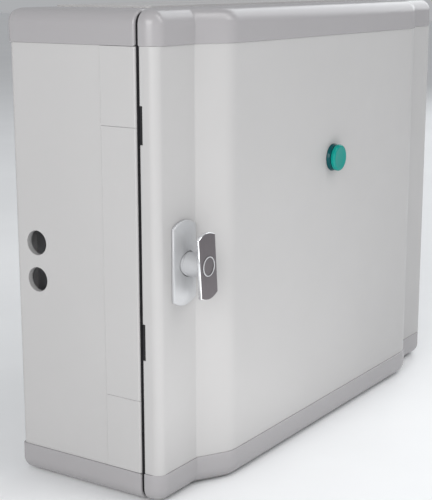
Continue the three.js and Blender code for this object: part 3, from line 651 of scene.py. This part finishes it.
def body_cap(name, flat_z, end_z):
    """A moulded cap: hollow, with a wall along its front that the door closes in front of."""
    overrun = 2 * CAP_ROUND
    plan = [(-HALF, FRONT - overrun, 0), (HALF, FRONT - overrun, 0),
            (HALF, BACK, 5 * MM), (-HALF, BACK, 5 * MM)]
    up = 1 if end_z > flat_z else -1
    ahead = (-1, FRONT - 1, -1)
    hollow = slab("hollow", shrunk(plan, CAP_WALL), flat_z - up * MM, end_z - up * CAP_WALL,
                  CAP_ROUND - CAP_WALL)
    carve(hollow, block("cutter", ahead, (1, FRONT + CAP_WALL, 1)))
    piece = slab(name, plan, flat_z, end_z, CAP_ROUND)
    carve(piece, block("cutter", ahead, (1, FRONT, 1)))
    rounded_rim(cleaned(piece), FRONT, 2.4 * MM)
    return carve(piece, hollow)


def top_cap():
    piece = body_cap("top_cap.moulding", TOP_LOW.z, TOP_HIGH.z)
    low, high = PLATE_LOW, PLATE_HIGH
    gap = 0.3 * MM
    plan = rectangle(low.x - gap, low.y - gap, high.x + gap, high.y + gap, 5 * MM)
    recess = prism("recess", rounded(plan, 10), TOP_HIGH.z - 1.2 * MM, TOP_HIGH.z + 5 * MM)
    return fit(soften(cleaned(carve(piece, recess)), 0.45 * MM, 2), "top_cap")


def bottom_cap():
    piece = body_cap("bottom_cap.moulding", BODY_HIGH.z, BODY_LOW.z)
    return fit(soften(cleaned(piece), 0.6 * MM, 3), "bottom_cap")


def top_plate():
    """A blanking plate let into the top cap, with the faint rings of its knock-outs."""
    low, high = PLATE_LOW, PLATE_HIGH
    plan = rectangle(low.x, low.y, high.x, high.y, 5 * MM)
    piece = prism("top_plate.sheet", rounded(plan, 10), low.z, high.z)
    corners = [(x, y) for x in (low.x + 8 * MM, high.x - 8 * MM) for y in (low.y + 8 * MM, high.y - 8 * MM)]
    for x, y in corners:
        carve(piece, prism("seat", disc_outline(3.1 * MM, x, y, 48), high.z - 1.6 * MM, high.z + 1 * MM))
    middle = (low.y + high.y) / 2
    for k in range(-3, 4):
        for radius in (14 * MM, 9.5 * MM):
            ring = prism("ring", disc_outline(radius + 0.35 * MM, k * 56 * MM, middle, 64),
                         high.z - 0.25 * MM, high.z + 1 * MM)
            carve(ring, prism("core", disc_outline(radius - 0.35 * MM, k * 56 * MM, middle, 64),
                              high.z - 1 * MM, high.z + 2 * MM))
            carve(piece, ring)
    fit(soften(cleaned(piece), 0.5 * MM, 3), "top_plate")
    heads = [turned_to(screw("head", 2.8 * MM), (0, 0, 1), (x, y, high.z - 1.5 * MM)) for x, y in corners]
    detail(soften(merged("top_plate_screws", heads), 0.1 * MM, 2), "cabinet", "satin_chrome")


# ------------------------------------------------------------------ hinges
EYE_R = 3.7 * MM
HINGE_X = 280 * MM
HINGE_Y = -86.5 * MM


def bored(piece, z):
    return carve(piece, prism("bore", disc_outline(2.3 * MM, HINGE_X, HINGE_Y, 40), z - 1, z + 1))


def hinge_bracket(node):
    low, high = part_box(node)
    z = (low.z + high.z) / 2
    eye = 7.2 * MM
    leaf_front = FRONT - 2 * MM
    piece = block(f"{node}.leaf", (HINGE_X - 10 * MM, leaf_front, low.z),
                  (HINGE_X - 2 * MM, FRONT - 0.3 * MM, high.z))
    arm = [(HINGE_X - 3.9 * MM, HINGE_Y - 0.5 * MM), (HINGE_X - 1 * MM, HINGE_Y + 3.6 * MM),
           (HINGE_X - 3 * MM, leaf_front + 1 * MM), (HINGE_X - 9 * MM, leaf_front + 1 * MM)]
    weld(piece, prism("arm", arm, z - eye, z + eye))
    weld(piece, prism("eye", disc_outline(EYE_R, HINGE_X, HINGE_Y, 48), z - eye, z + eye))
    return fit(soften(cleaned(bored(piece, z)), 0.35 * MM, 2), node)


def hinge_knuckle(node):
    low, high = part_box(node)
    z = (low.z + high.z) / 2
    plate = MARGIN_Y + DOOR_STEEL + 0.3 * MM
    piece = block(f"{node}.leaf", (HINGE_X - 24 * MM, plate, low.z),
                  (HINGE_X - 3 * MM, plate + 1.6 * MM, high.z))
    ear = [(HINGE_X - 4 * MM, plate + 0.5 * MM), (HINGE_X - 1 * MM, plate + 0.5 * MM),
           (HINGE_X + 3.5 * MM, HINGE_Y - 0.8 * MM), (HINGE_X - 3.6 * MM, HINGE_Y)]
    for start, stop in ((low.z, z - 7.5 * MM), (z + 7.5 * MM, high.z)):
        weld(piece, prism("ear", ear, start, stop))
        weld(piece, prism("eye", disc_outline(EYE_R, HINGE_X, HINGE_Y, 48), start, stop))
    return fit(soften(cleaned(bored(piece, z)), 0.3 * MM, 2), node)


def hinge_pin(node):
    low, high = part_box(node)
    piece = prism(f"{node}.rod", disc_outline(2 * MM, HINGE_X, HINGE_Y, 48), low.z, high.z - 0.6 * MM)
    weld(piece, prism("head", disc_outline(3.2 * MM, HINGE_X, HINGE_Y, 48), high.z - 1.3 * MM, high.z))
    return fit(soften(piece, 0.35 * MM, 3), node)


# ------------------------------------------------------------------ inside the cabinet
RAIL_Z = 112 * MM
BAY_CENTRES = [(-248 + 496 / 6 * (k + 0.5)) * MM for k in range(6)]


def shelf():
    """The phone rack: one sheet with a rolled front lip and a high back, closed by a cheek at each end."""
    low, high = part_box("phone_shelf")
    bend = 3 * MM
    profile = rounded([(low.y, low.z + 22 * MM, 0), (low.y, low.z, bend), (high.y, low.z, bend),
                       (high.y, high.z, 0)], 8, closed=False)
    piece = prism("phone_shelf.sheet", strip(profile, BODY_STEEL), low.x, high.x, "X")
    cheek = rounded([(low.y, low.z, bend), (high.y, low.z, bend), (high.y, low.z + 92 * MM, 5 * MM),
                     (high.y - 25 * MM, low.z + 92 * MM, 18 * MM), (low.y, low.z + 22 * MM, 4 * MM)], 10)
    for x in (low.x, high.x - BODY_STEEL):
        weld(piece, prism("cheek", cheek, x, x + BODY_STEEL, "X"))
    for x in BAY_CENTRES:
        for side in (-16, 16):
            slot = rounded(rectangle(x + (side - 9) * MM, low.z + 68 * MM, x + (side + 9) * MM,
                                     low.z + 73 * MM, 2.2 * MM), 6)
            carve(piece, prism("slot", slot, high.y - 5 * MM, high.y + 5 * MM, "Y"))
    return fit(soften(cleaned(piece), 0.4 * MM, 2), "phone_shelf")


def divider(node):
    low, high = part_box(node)
    side = rounded([(low.y, low.z, 1 * MM), (high.y, low.z, 1 * MM), (high.y, high.z, 4 * MM),
                    (low.y + 19.7 * MM, high.z, 16 * MM), (low.y, low.z + 39.7 * MM, 20 * MM)], 12)
    return fit(soften(prism(f"{node}.fin", side, low.x, high.x, "X"), 1.1 * MM, 4), node)


def outlets():
    """The charging bar: a rounded bar with six sockets, each with its metal shell and tongue."""
    low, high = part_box("outlet_bar")
    section = rounded([(low.y, low.z, 5 * MM), (high.y, low.z, 1 * MM), (high.y, high.z, 1 * MM),
                       (low.y, high.z, 5 * MM)], 8)
    bar = prism("outlet_bar.bar", section, low.x, high.x, "X")
    z = (low.z + high.z) / 2

    def obround(x, wide, tall):
        a, b = wide / 2 * MM, tall / 2 * MM
        return rounded(rectangle(x - a, z - b, x + a, z + b, b * 0.98), 8)

    shells, tongues = [], []
    for x in BAY_CENTRES:
        carve(bar, prism("socket", obround(x, 9.6, 3.6), low.y - 5 * MM, low.y + 7 * MM, "Y"))
        shell = prism("shell", obround(x, 9.4, 3.4), low.y - 0.2 * MM, low.y + 6.5 * MM, "Y")
        shells.append(carve(shell, prism("bore", obround(x, 8.8, 2.8), low.y - 5 * MM, low.y + 6 * MM, "Y")))
        tongues.append(block("tongue", (x - 3.2 * MM, low.y + 1 * MM, z - 0.35 * MM),
                             (x + 3.2 * MM, low.y + 6.4 * MM, z + 0.35 * MM)))
    fit(soften(cleaned(bar), 0.5 * MM, 3), "outlet_bar")
    detail(soften(merged("outlet_shells", shells), 0.08 * MM, 2), "cabinet", "satin_chrome")
    detail(soften(merged("outlet_tongues", tongues), 0.1 * MM, 2), "cabinet", "black_plastic")


def power_supply(node):
    """A rail-mounted supply with louvres and a status lamp on its nose."""
    low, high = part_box(node)
    piece = refined_shape(node)
    middle = (low.x + high.x) / 2
    for k in range(5):
        z = RAIL_Z + (2 + 3.4 * k) * MM
        carve(piece, block("louvre", (middle - 14 * MM, low.y - 1 * MM, z),
                           (middle + 14 * MM, low.y + 2 * MM, z + 1.5 * MM)))
    fit(soften(cleaned(piece), 0.5 * MM, 2), node)
    dome = mm((0, 0.5), (1.7, 0.5), (1.7, -0.3), (1.4, -0.9), (0.8, -1.2), (0, -1.3))
    lamp = turned(f"{node}.lamp", dome, Vector((0, 0, 0)), 32)
    turned_to(lamp, (0, -1, 0), (low.x + 10 * MM, low.y, RAIL_Z - 12 * MM))
    detail(lamp, "cabinet", "pilot_lens_plastic")
    for polygon in lamp.data.polygons:
        polygon.use_smooth = True


def breaker():
    fit(soften(refined_shape("breaker_body"), 0.45 * MM, 2), "breaker_body")
    low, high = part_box("breaker_toggle")
    y, half = -44 * MM, (high.x - low.x) / 2
    x = (low.x + high.x) / 2
    toggle = prism("breaker_toggle.hub", disc_outline(4.5 * MM, y, RAIL_Z, 56), low.x, high.x, "X")
    section = rounded([(2 * MM, -2.4 * MM, 0), (-15 * MM, -2 * MM, 0.8 * MM), (-15 * MM, 2 * MM, 0.8 * MM),
                       (2 * MM, 2.4 * MM, 0)], 5)
    lever = prism("lever", section, x - half, x + half, "X")
    lever.data.transform(Matrix.Translation((0, y, RAIL_Z)) @ Matrix.Rotation(math.radians(-35), 4, "X"))
    fit(soften(cleaned(weld(toggle, lever)), 0.5 * MM, 3), "breaker_toggle")
    low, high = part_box("test_button")
    fit(soften(block("test_button.key", low, high), 0.7 * MM, 4), "test_button")


def faceplate_screw(node):
    low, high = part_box(node)
    centre = ((low.x + high.x) / 2, high.y, (low.z + high.z) / 2)
    head = turned_to(screw(f"{node}.head", (high.x - low.x) / 2), (0, -1, 0), centre)
    return fit(soften(head, 0.15 * MM, 2), node)


# ------------------------------------------------------------------ door
def door_half(grow):
    """Right half of the door's plan, from the rear edge round to the raised middle."""
    return [(STEEL_X + grow, DOOR_REAR, 0), (STEEL_X + grow, MARGIN_Y - grow, 9 * MM + grow),
            (MARGIN_X, MARGIN_Y - grow, 5 * MM), (FACE_X, FACE_Y - grow, 30 * MM + grow)]


def door_panel():
    """The door skin: one profiled sheet with returned edges, notched for hinges on both sides."""
    low, high = DOOR_LOW.z - SEAM, DOOR_HIGH.z + SEAM
    half = [(STEEL_X - 24 * MM, DOOR_REAR, 0), (STEEL_X, DOOR_REAR, 2 * MM), *door_half(0)[1:]]
    path = rounded(across(half), 14, closed=False)
    piece = prism("door_panel.skin", strip(path, DOOR_STEEL), low, high)
    for level in ("upper", "lower"):
        bottom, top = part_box(f"hinge_knuckle_{level}")
        z = (bottom.z + top.z) / 2
        for side, wide, deep, tall in ((1, 18, 11, 18), (-1, 8, 3.5, 17)):
            x0, x1 = sorted((side * (STEEL_X - wide * MM), side * (STEEL_X + 5 * MM)))
            carve(piece, block("notch", (x0, DOOR_REAR - deep * MM, z - tall * MM),
                               (x1, DOOR_REAR + 1 * MM, z + tall * MM)))
    carve(piece, hole(7 * MM, HANDLE.x, HANDLE.z, MARGIN_Y - 10 * MM, MARGIN_Y + 10 * MM))
    carve(piece, hole(PILOT_HOLE, PILOT.x, PILOT.z, FACE_Y - 10 * MM, FACE_Y + 10 * MM))
    return fit(soften(cleaned(piece), 0.3 * MM, 2), "door_panel")


def shaded_hinge_plugs():
    """Plugs in the hinge notches that the door doesn't use, made black as painted shade so that these notches
    read dark.
    """
    for level in ("upper", "lower"):
        bottom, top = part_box(f"hinge_knuckle_{level}")
        z = (bottom.z + top.z) / 2
        piece = block(f"shaded_hinge_plug_{level}", (-STEEL_X + 0.8 * MM, DOOR_REAR - 3.3 * MM, z - 16.8 * MM),
                      (-STEEL_X + 7.7 * MM, DOOR_REAR - 0.1 * MM, z + 16.8 * MM))
        # black plugs: painted shade for the dark notches
        detail(soften(piece, 0.4 * MM, 3), "door", "black_plastic")


def gap_shade_lip():
    """A black lip round the door's rear edge, all but the hinge side, that fills the gap to the body: painted
    shade, a dark strip standing for the shadow in the gap.
    """
    def path(inset):
        side, end = HALF - inset, CAP_ROUND - inset
        low, high = DOOR_CAP_LOW.z + inset, DOOR_TOP_HIGH.z - inset
        return rounded([(260 * MM, high, 0), (-side, high, end), (-side, low, end), (260 * MM, low, 0)], 10,
                       closed=False)

    outline = path(1.7 * MM) + path(3.4 * MM)[::-1]
    piece = prism("gap_shade_lip.lip", outline, DOOR_REAR - 0.1 * MM, FRONT - 0.5 * MM, "Y")
    # the lip's black rubber is painted shade for the dark gap
    detail(soften(piece, 0.3 * MM, 2), "door", "seal_rubber")


def door_cap(node, flat_z, end_z):
    overrun = 2 * CAP_ROUND
    rear, front, *rest = door_half(PROUD)
    half = [(rear[0], DOOR_REAR + overrun, 5 * MM), (front[0], front[1], CAP_ROUND + 1 * MM), *rest]
    plan = across(half)
    up = 1 if end_z > flat_z else -1
    beyond = (1, DOOR_REAR + 1, 1)
    hollow = slab("hollow", shrunk(plan, CAP_WALL), flat_z - up * MM, end_z - up * CAP_WALL,
                  CAP_ROUND - CAP_WALL, chords=14)
    carve(hollow, block("cutter", (-1, DOOR_REAR - CAP_WALL, -1), beyond))
    piece = slab(f"{node}.moulding", plan, flat_z, end_z, CAP_ROUND, chords=14)
    carve(piece, block("cutter", (-1, DOOR_REAR, -1), beyond))
    rounded_rim(cleaned(piece), DOOR_REAR, 1.6 * MM)
    return fit(soften(cleaned(carve(piece, hollow)), 0.7 * MM, 3), node)


def door_seal():
    low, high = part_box("door_seal")

    def ring(inset, y0, y1):
        corners = rectangle(low.x + inset, low.z + inset, high.x - inset, high.z - inset, 6 * MM)
        return prism("door_seal.foam", rounded(corners, 8), y0, y1, "Y")

    piece = carve(ring(0, low.y, high.y), ring(5 * MM, low.y - 1 * MM, high.y + 1 * MM))
    return fit(soften(cleaned(piece), 0.9 * MM, 4), "door_seal")


def lock_housing():
    low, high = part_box("lock_housing")
    corners = rectangle(low.x, low.z, high.x, high.z, 5 * MM)
    piece = prism("lock_housing.case", rounded(corners, 10), low.y, high.y, "Y")
    carve(piece, hole(SPINDLE_HOLE, HANDLE.x, HANDLE.z, low.y - 1 * MM, high.y + 1 * MM))
    return fit(soften(cleaned(piece), 0.8 * MM, 3), "lock_housing")


def smoothed(piece, angle=40):
    """Smooth shading that still breaks at real edges."""
    for polygon in piece.data.polygons:
        polygon.use_smooth = True
    bm = bmesh.new()
    bm.from_mesh(piece.data)
    for edge in bm.edges:
        edge.smooth = edge.calc_face_angle(0) < math.radians(angle)
    bm.to_mesh(piece.data)
    bm.free()
    return piece


def arc(centre, radius, start, stop, steps=8):
    """Points (radius, y) along a quarter or so of a circle, angles in degrees."""
    points = []
    for k in range(steps + 1):
        angle = math.radians(start + (stop - start) * k / steps)
        points.append((centre[0] + radius * math.cos(angle), centre[1] + radius * math.sin(angle)))
    return points


def pilot():
    """The pilot light: a threaded bezel, a clear lens screwed on it, the nut and the lamp block."""
    low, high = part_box("pilot_bezel")
    seat = high.y - 14.3 * MM
    front = low.y
    profile = [(0, front), *arc((12.7 * MM, front + 0.9 * MM), 0.9 * MM, -90, 0),
               (14.0 * MM, front + 2.2 * MM), (14.35 * MM, seat - 1.0 * MM), (14.35 * MM, seat),
               (11 * MM, seat)]
    pitch = 1.1 * MM
    for k in range(12):
        y = seat + 0.6 * MM + k * pitch
        profile += [(11 * MM, y), (10.5 * MM, y + pitch / 2)]
    profile += [(10.8 * MM, high.y - 0.2 * MM), (10.4 * MM, high.y), (0, high.y)]
    bezel = turned("pilot_bezel.ring", profile, PILOT, 96)
    fit(smoothed(bezel), "pilot_bezel")

    low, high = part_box("pilot_lens")
    profile = [(0, low.y + 0.35 * MM), (6 * MM, low.y + 0.3 * MM), (9.6 * MM, low.y + 0.1 * MM),
               (10.7 * MM, low.y), *arc((12.0 * MM, low.y + 1.85 * MM), 1.85 * MM, -85, 0),
               (13.85 * MM, high.y - 1.1 * MM), (12.9 * MM, high.y), (0, high.y)]
    fit(smoothed(turned("pilot_lens.cap", profile, PILOT, 96)), "pilot_lens")

    low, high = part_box("pilot_nut")
    nut = prism("pilot_nut.hex", disc_outline(15.6 * MM, PILOT.x, PILOT.z, 6), low.y, high.y, "Y")
    carve(nut, hole(PILOT_HOLE, PILOT.x, PILOT.z, low.y - 1 * MM, high.y + 1 * MM))
    fit(soften(cleaned(nut), 0.6 * MM, 3), "pilot_nut")

    low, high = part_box("pilot_lamp_block")
    corners = rectangle(low.x, low.y, high.x, high.y, 3 * MM)
    lamp = prism("pilot_lamp_block.case", rounded(corners, 8), low.z, high.z)
    heads = []
    for x in (-8 * MM, 8 * MM):
        z = PILOT.z - 11 * MM
        carve(lamp, hole(3 * MM, x, z, high.y - 3 * MM, high.y + 1 * MM))
        heads.append(turned_to(screw("lamp_screw", 2.4 * MM), (0, 1, 0), (x, high.y - 2.6 * MM, z)))
    fit(soften(cleaned(lamp), 0.7 * MM, 3), "pilot_lamp_block")
    detail(soften(merged("pilot_lamp_screws", heads), 0.1 * MM, 2), "door", "zinc_steel")


LEAD_ROUTE = mm(
    (15.6, -90, 292), (45, -94, 292), (110, -100, 291), (170, -101, 289), (215, -92, 284), (241, -86, 274),
    (251, -82, 258), (253, -76, 240), (254, -64, 226), (257, -50, 214), (261, -38, 196), (263, -26, 166),
    (263, -16, 136), (258, -12.4, 116), (246, -12, 112), (211, -12, 112),
)


def spline(route, per_span):
    """Points of a centripetal Catmull-Rom curve through a route."""
    knots = [Vector(p) for p in route]
    knots = [2 * knots[0] - knots[1], *knots, 2 * knots[-1] - knots[-2]]
    points = []
    for i in range(1, len(knots) - 2):
        p0, p1, p2, p3 = knots[i - 1:i + 3]
        t1 = (p1 - p0).length ** 0.5
        t2 = t1 + (p2 - p1).length ** 0.5
        t3 = t2 + (p3 - p2).length ** 0.5
        for k in range(per_span):
            t = t1 + (t2 - t1) * k / per_span
            a1 = p0.lerp(p1, t / t1)
            a2 = p1.lerp(p2, (t - t1) / (t2 - t1))
            a3 = p2.lerp(p3, (t - t2) / (t3 - t2))
            b1 = a1.lerp(a2, t / t2)
            b2 = a2.lerp(a3, (t - t1) / (t3 - t1))
            points.append(b1.lerp(b2, (t - t1) / (t2 - t1)))
    points.append(knots[-2])
    return points


def tube(name, points, radius, sides=20):
    """A round tube along points, its rings carried along without twist."""
    rings = []
    side = Vector((0, 0, 1))
    for i, point in enumerate(points):
        along = (points[min(i + 1, len(points) - 1)] - points[max(i - 1, 0)]).normalized()
        side = (side - along * side.dot(along)).normalized()
        other = along.cross(side)
        rings.append([point + x * side + y * other for x, y in disc_outline(radius, sides=sides)])
    return loft(name, rings)


def pilot_lead():
    """The lamp's lead crosses the hinge side in a slack loop."""
    piece = smoothed(tube("pilot_lead.sheath", spline(LEAD_ROUTE, 8), 2 * MM))
    piece.data.materials.append(FINISHES["lead_sheath"])
    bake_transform(piece)
    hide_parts("pilot_lead")


# ------------------------------------------------------------------ handle
def escutcheon():
    """A pillowed plate with arched ends round the handle's stem."""
    layers = [(0, 0), (0, 1.2 * MM), (0.12 * MM, 1.8 * MM), (0.45 * MM, 2.25 * MM), (1 * MM, 2.55 * MM)]
    for k in range(1, 13):
        t = k / 12
        layers.append(((1 + 14.6 * t) * MM, (2.55 + 3.9 * math.sin(t * math.pi / 2)) * MM))
    piece = arched_plate("escutcheon.plate", 17.6 * MM, 34 * MM, 5.5 * MM, layers, MARGIN_Y - 0.3 * MM)
    carve(piece, hole(STEM_R + 0.8 * MM, HANDLE.x, HANDLE.z, MARGIN_Y - 20 * MM, MARGIN_Y + 5 * MM))
    return fit(smoothed(piece, 50), "escutcheon")


def tilted(piece):
    """The handle stands a little off upright."""
    centre = Matrix.Translation(HANDLE)
    piece.data.transform(centre @ Matrix.Rotation(-HANDLE_TILT, 4, "Y") @ centre.inverted())
    return piece


def handle():
    low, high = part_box("handle_stem")
    base, front = MARGIN_Y - 0.6 * MM, PADDLE_BACK + 0.3 * MM
    profile = [
        (0, front), (9.8 * MM, front), (10.4 * MM, front + 0.5 * MM), (10.5 * MM, front + 5 * MM),
        (10.8 * MM, front + 10 * MM), (STEM_R, MARGIN_Y - 9 * MM), (STEM_R, MARGIN_Y - 8.2 * MM),
        (10.5 * MM, MARGIN_Y - 7.9 * MM), (10.5 * MM, MARGIN_Y - 7.4 * MM),
        (STEM_R, MARGIN_Y - 7.1 * MM), (STEM_R, base), (5 * MM, base), (5 * MM, high.y - 0.6 * MM),
        (4.4 * MM, high.y), (0, high.y),
    ]
    fit(smoothed(turned("handle_stem.bar", profile, HANDLE, 80)), "handle_stem")

    layers = mm((0.9, 0), (0.45, 0.12), (0.12, 0.45), (0, 0.9), (0, 2.7), (0.15, 3.3), (0.5, 3.62), (0.9, 3.7))
    paddle = arched_plate("handle_paddle.plate", 13.2 * MM, 27.3 * MM, 3.7 * MM, layers, PADDLE_BACK)
    paddle.data.materials.append(FINISHES["paddle_metal"])
    paddle.data.materials.append(POLISHED_EDGE)
    for polygon in paddle.data.polygons:
        polygon.material_index = 0 if abs(polygon.normal.y) > 0.97 else 1
    fit(smoothed(tilted(paddle), 60), "handle_paddle")

    face = PADDLE_BACK - layers[-1][1]
    section = mm((8.2, -0.3), (8.2, -0.75), (8.35, -1), (8.6, -1.1), (8.85, -1), (9.1, -0.75), (9.1, -0.3))
    profile = [(r, face + y) for r, y in section]
    fit(smoothed(turned("handle_ring.wire", profile, HANDLE, 96, closed=True)), "handle_ring")

    low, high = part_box("latch_cam")
    outline = rounded(mm((-9, -9, 5), (9, -9, 5), (9, 9, 3), (6.5, 34, 4), (-6.5, 34, 4), (-9, 9, 3)), 8)
    cam = prism("latch_cam.plate", [(p.x + HANDLE.x, p.y + HANDLE.z) for p in outline], low.y, high.y, "Y")
    carve(cam, hole(SPINDLE_HOLE, HANDLE.x, HANDLE.z, low.y - 1 * MM, high.y + 1 * MM))
    fit(soften(cleaned(tilted(cam)), 0.4 * MM, 3), "latch_cam")

    low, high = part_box("cam_nut")
    nut = prism("cam_nut.hex", disc_outline(8.6 * MM, HANDLE.x, HANDLE.z, 6), low.y, high.y, "Y")
    carve(nut, hole(SPINDLE_HOLE, HANDLE.x, HANDLE.z, low.y - 1 * MM, high.y + 1 * MM))
    fit(soften(cleaned(tilted(nut)), 0.5 * MM, 3), "cam_nut")


# ------------------------------------------------------------------ everything in its place
make_camera()

body_shell()
top_cap()
bottom_cap()
top_plate()
for name, sign in (("left", -1), ("right", 1)):
    frame_upright(f"frame_upright_{name}", sign)
    frame_corner(f"frame_corner_top_{name}", sign, True)
    frame_corner(f"frame_corner_bottom_{name}", sign, False)
    refined(f"chassis_post_{name}", 0.4 * MM)
    faceplate_screw(f"faceplate_screw_{name}")
for end in ("top", "bottom"):
    refined(f"frame_rail_{end}", 0.4 * MM)
    refined(f"door_rail_{end}", 0.3 * MM)
for level in ("upper", "lower"):
    hinge_bracket(f"hinge_bracket_{level}")
    hinge_knuckle(f"hinge_knuckle_{level}")
    hinge_pin(f"hinge_pin_{level}")
refined("din_rail", 0.25 * MM)
refined("faceplate", 0.6 * MM)
refined("blanking_strip", 0.3 * MM)
refined("terminal_block", 0.5 * MM)
power_supply("power_supply_1")
power_supply("power_supply_2")
breaker()
shelf()
for number in range(1, 6):
    divider(f"divider_{number}")
outlets()

door_panel()
shaded_hinge_plugs()
gap_shade_lip()
door_cap("door_cap_top", DOOR_TOP_LOW.z, DOOR_TOP_HIGH.z)
door_cap("door_cap_bottom", DOOR_CAP_HIGH.z, DOOR_CAP_LOW.z)
door_seal()
lock_housing()
escutcheon()
pilot()
pilot_lead()
handle()


# ------------------------------------------------------------------ floor and light
def floor():
    bm = bmesh.new()
    bmesh.ops.create_grid(bm, x_segments=4, y_segments=4, size=12)
    piece = from_bmesh("floor", bm)
    piece.location.z = -0.4 * MM
    piece.data.materials.append(floor_material())


def soft_light(name, place, target, size, power, colour=(1, 1, 1)):
    data = bpy.data.lights.new(name, "AREA")
    data.shape = "RECTANGLE"
    data.size, data.size_y = size
    data.energy = power
    data.color = colour
    lamp = bpy.data.objects.new(name, data)
    lamp.location = place
    lamp.visible_camera = False
    lamp.rotation_euler = (Vector(target) - Vector(place)).to_track_quat("-Z", "Y").to_euler()
    bpy.context.scene.collection.objects.link(lamp)


def world():
    made = bpy.data.worlds.new("studio")
    made.use_nodes = True
    made.node_tree.nodes["Background"].inputs["Color"].default_value = (0.95, 0.97, 1.0, 1)
    made.node_tree.nodes["Background"].inputs["Strength"].default_value = 0.44
    bpy.context.scene.world = made


floor()
world()
soft_light("panel", (0.3, -1.7, 1.95), (-0.1, 0, 0.3), (0.8, 2.2), 21)
soft_light("window", (3.0, -0.3, 1.8), (0, 0, 0.3), (2.6, 2.4), 40, (0.95, 0.98, 1))
soft_light("left", (-2.4, -0.6, 1.1), (0, 0, 0.2), (1.8, 1.6), 44)
soft_light("bounce", (-0.35, -0.48, 0.002), (-0.35, -0.48, 1), (0.8, 0.6), 1.8)
bpy.context.scene.view_settings.view_transform = "Standard"
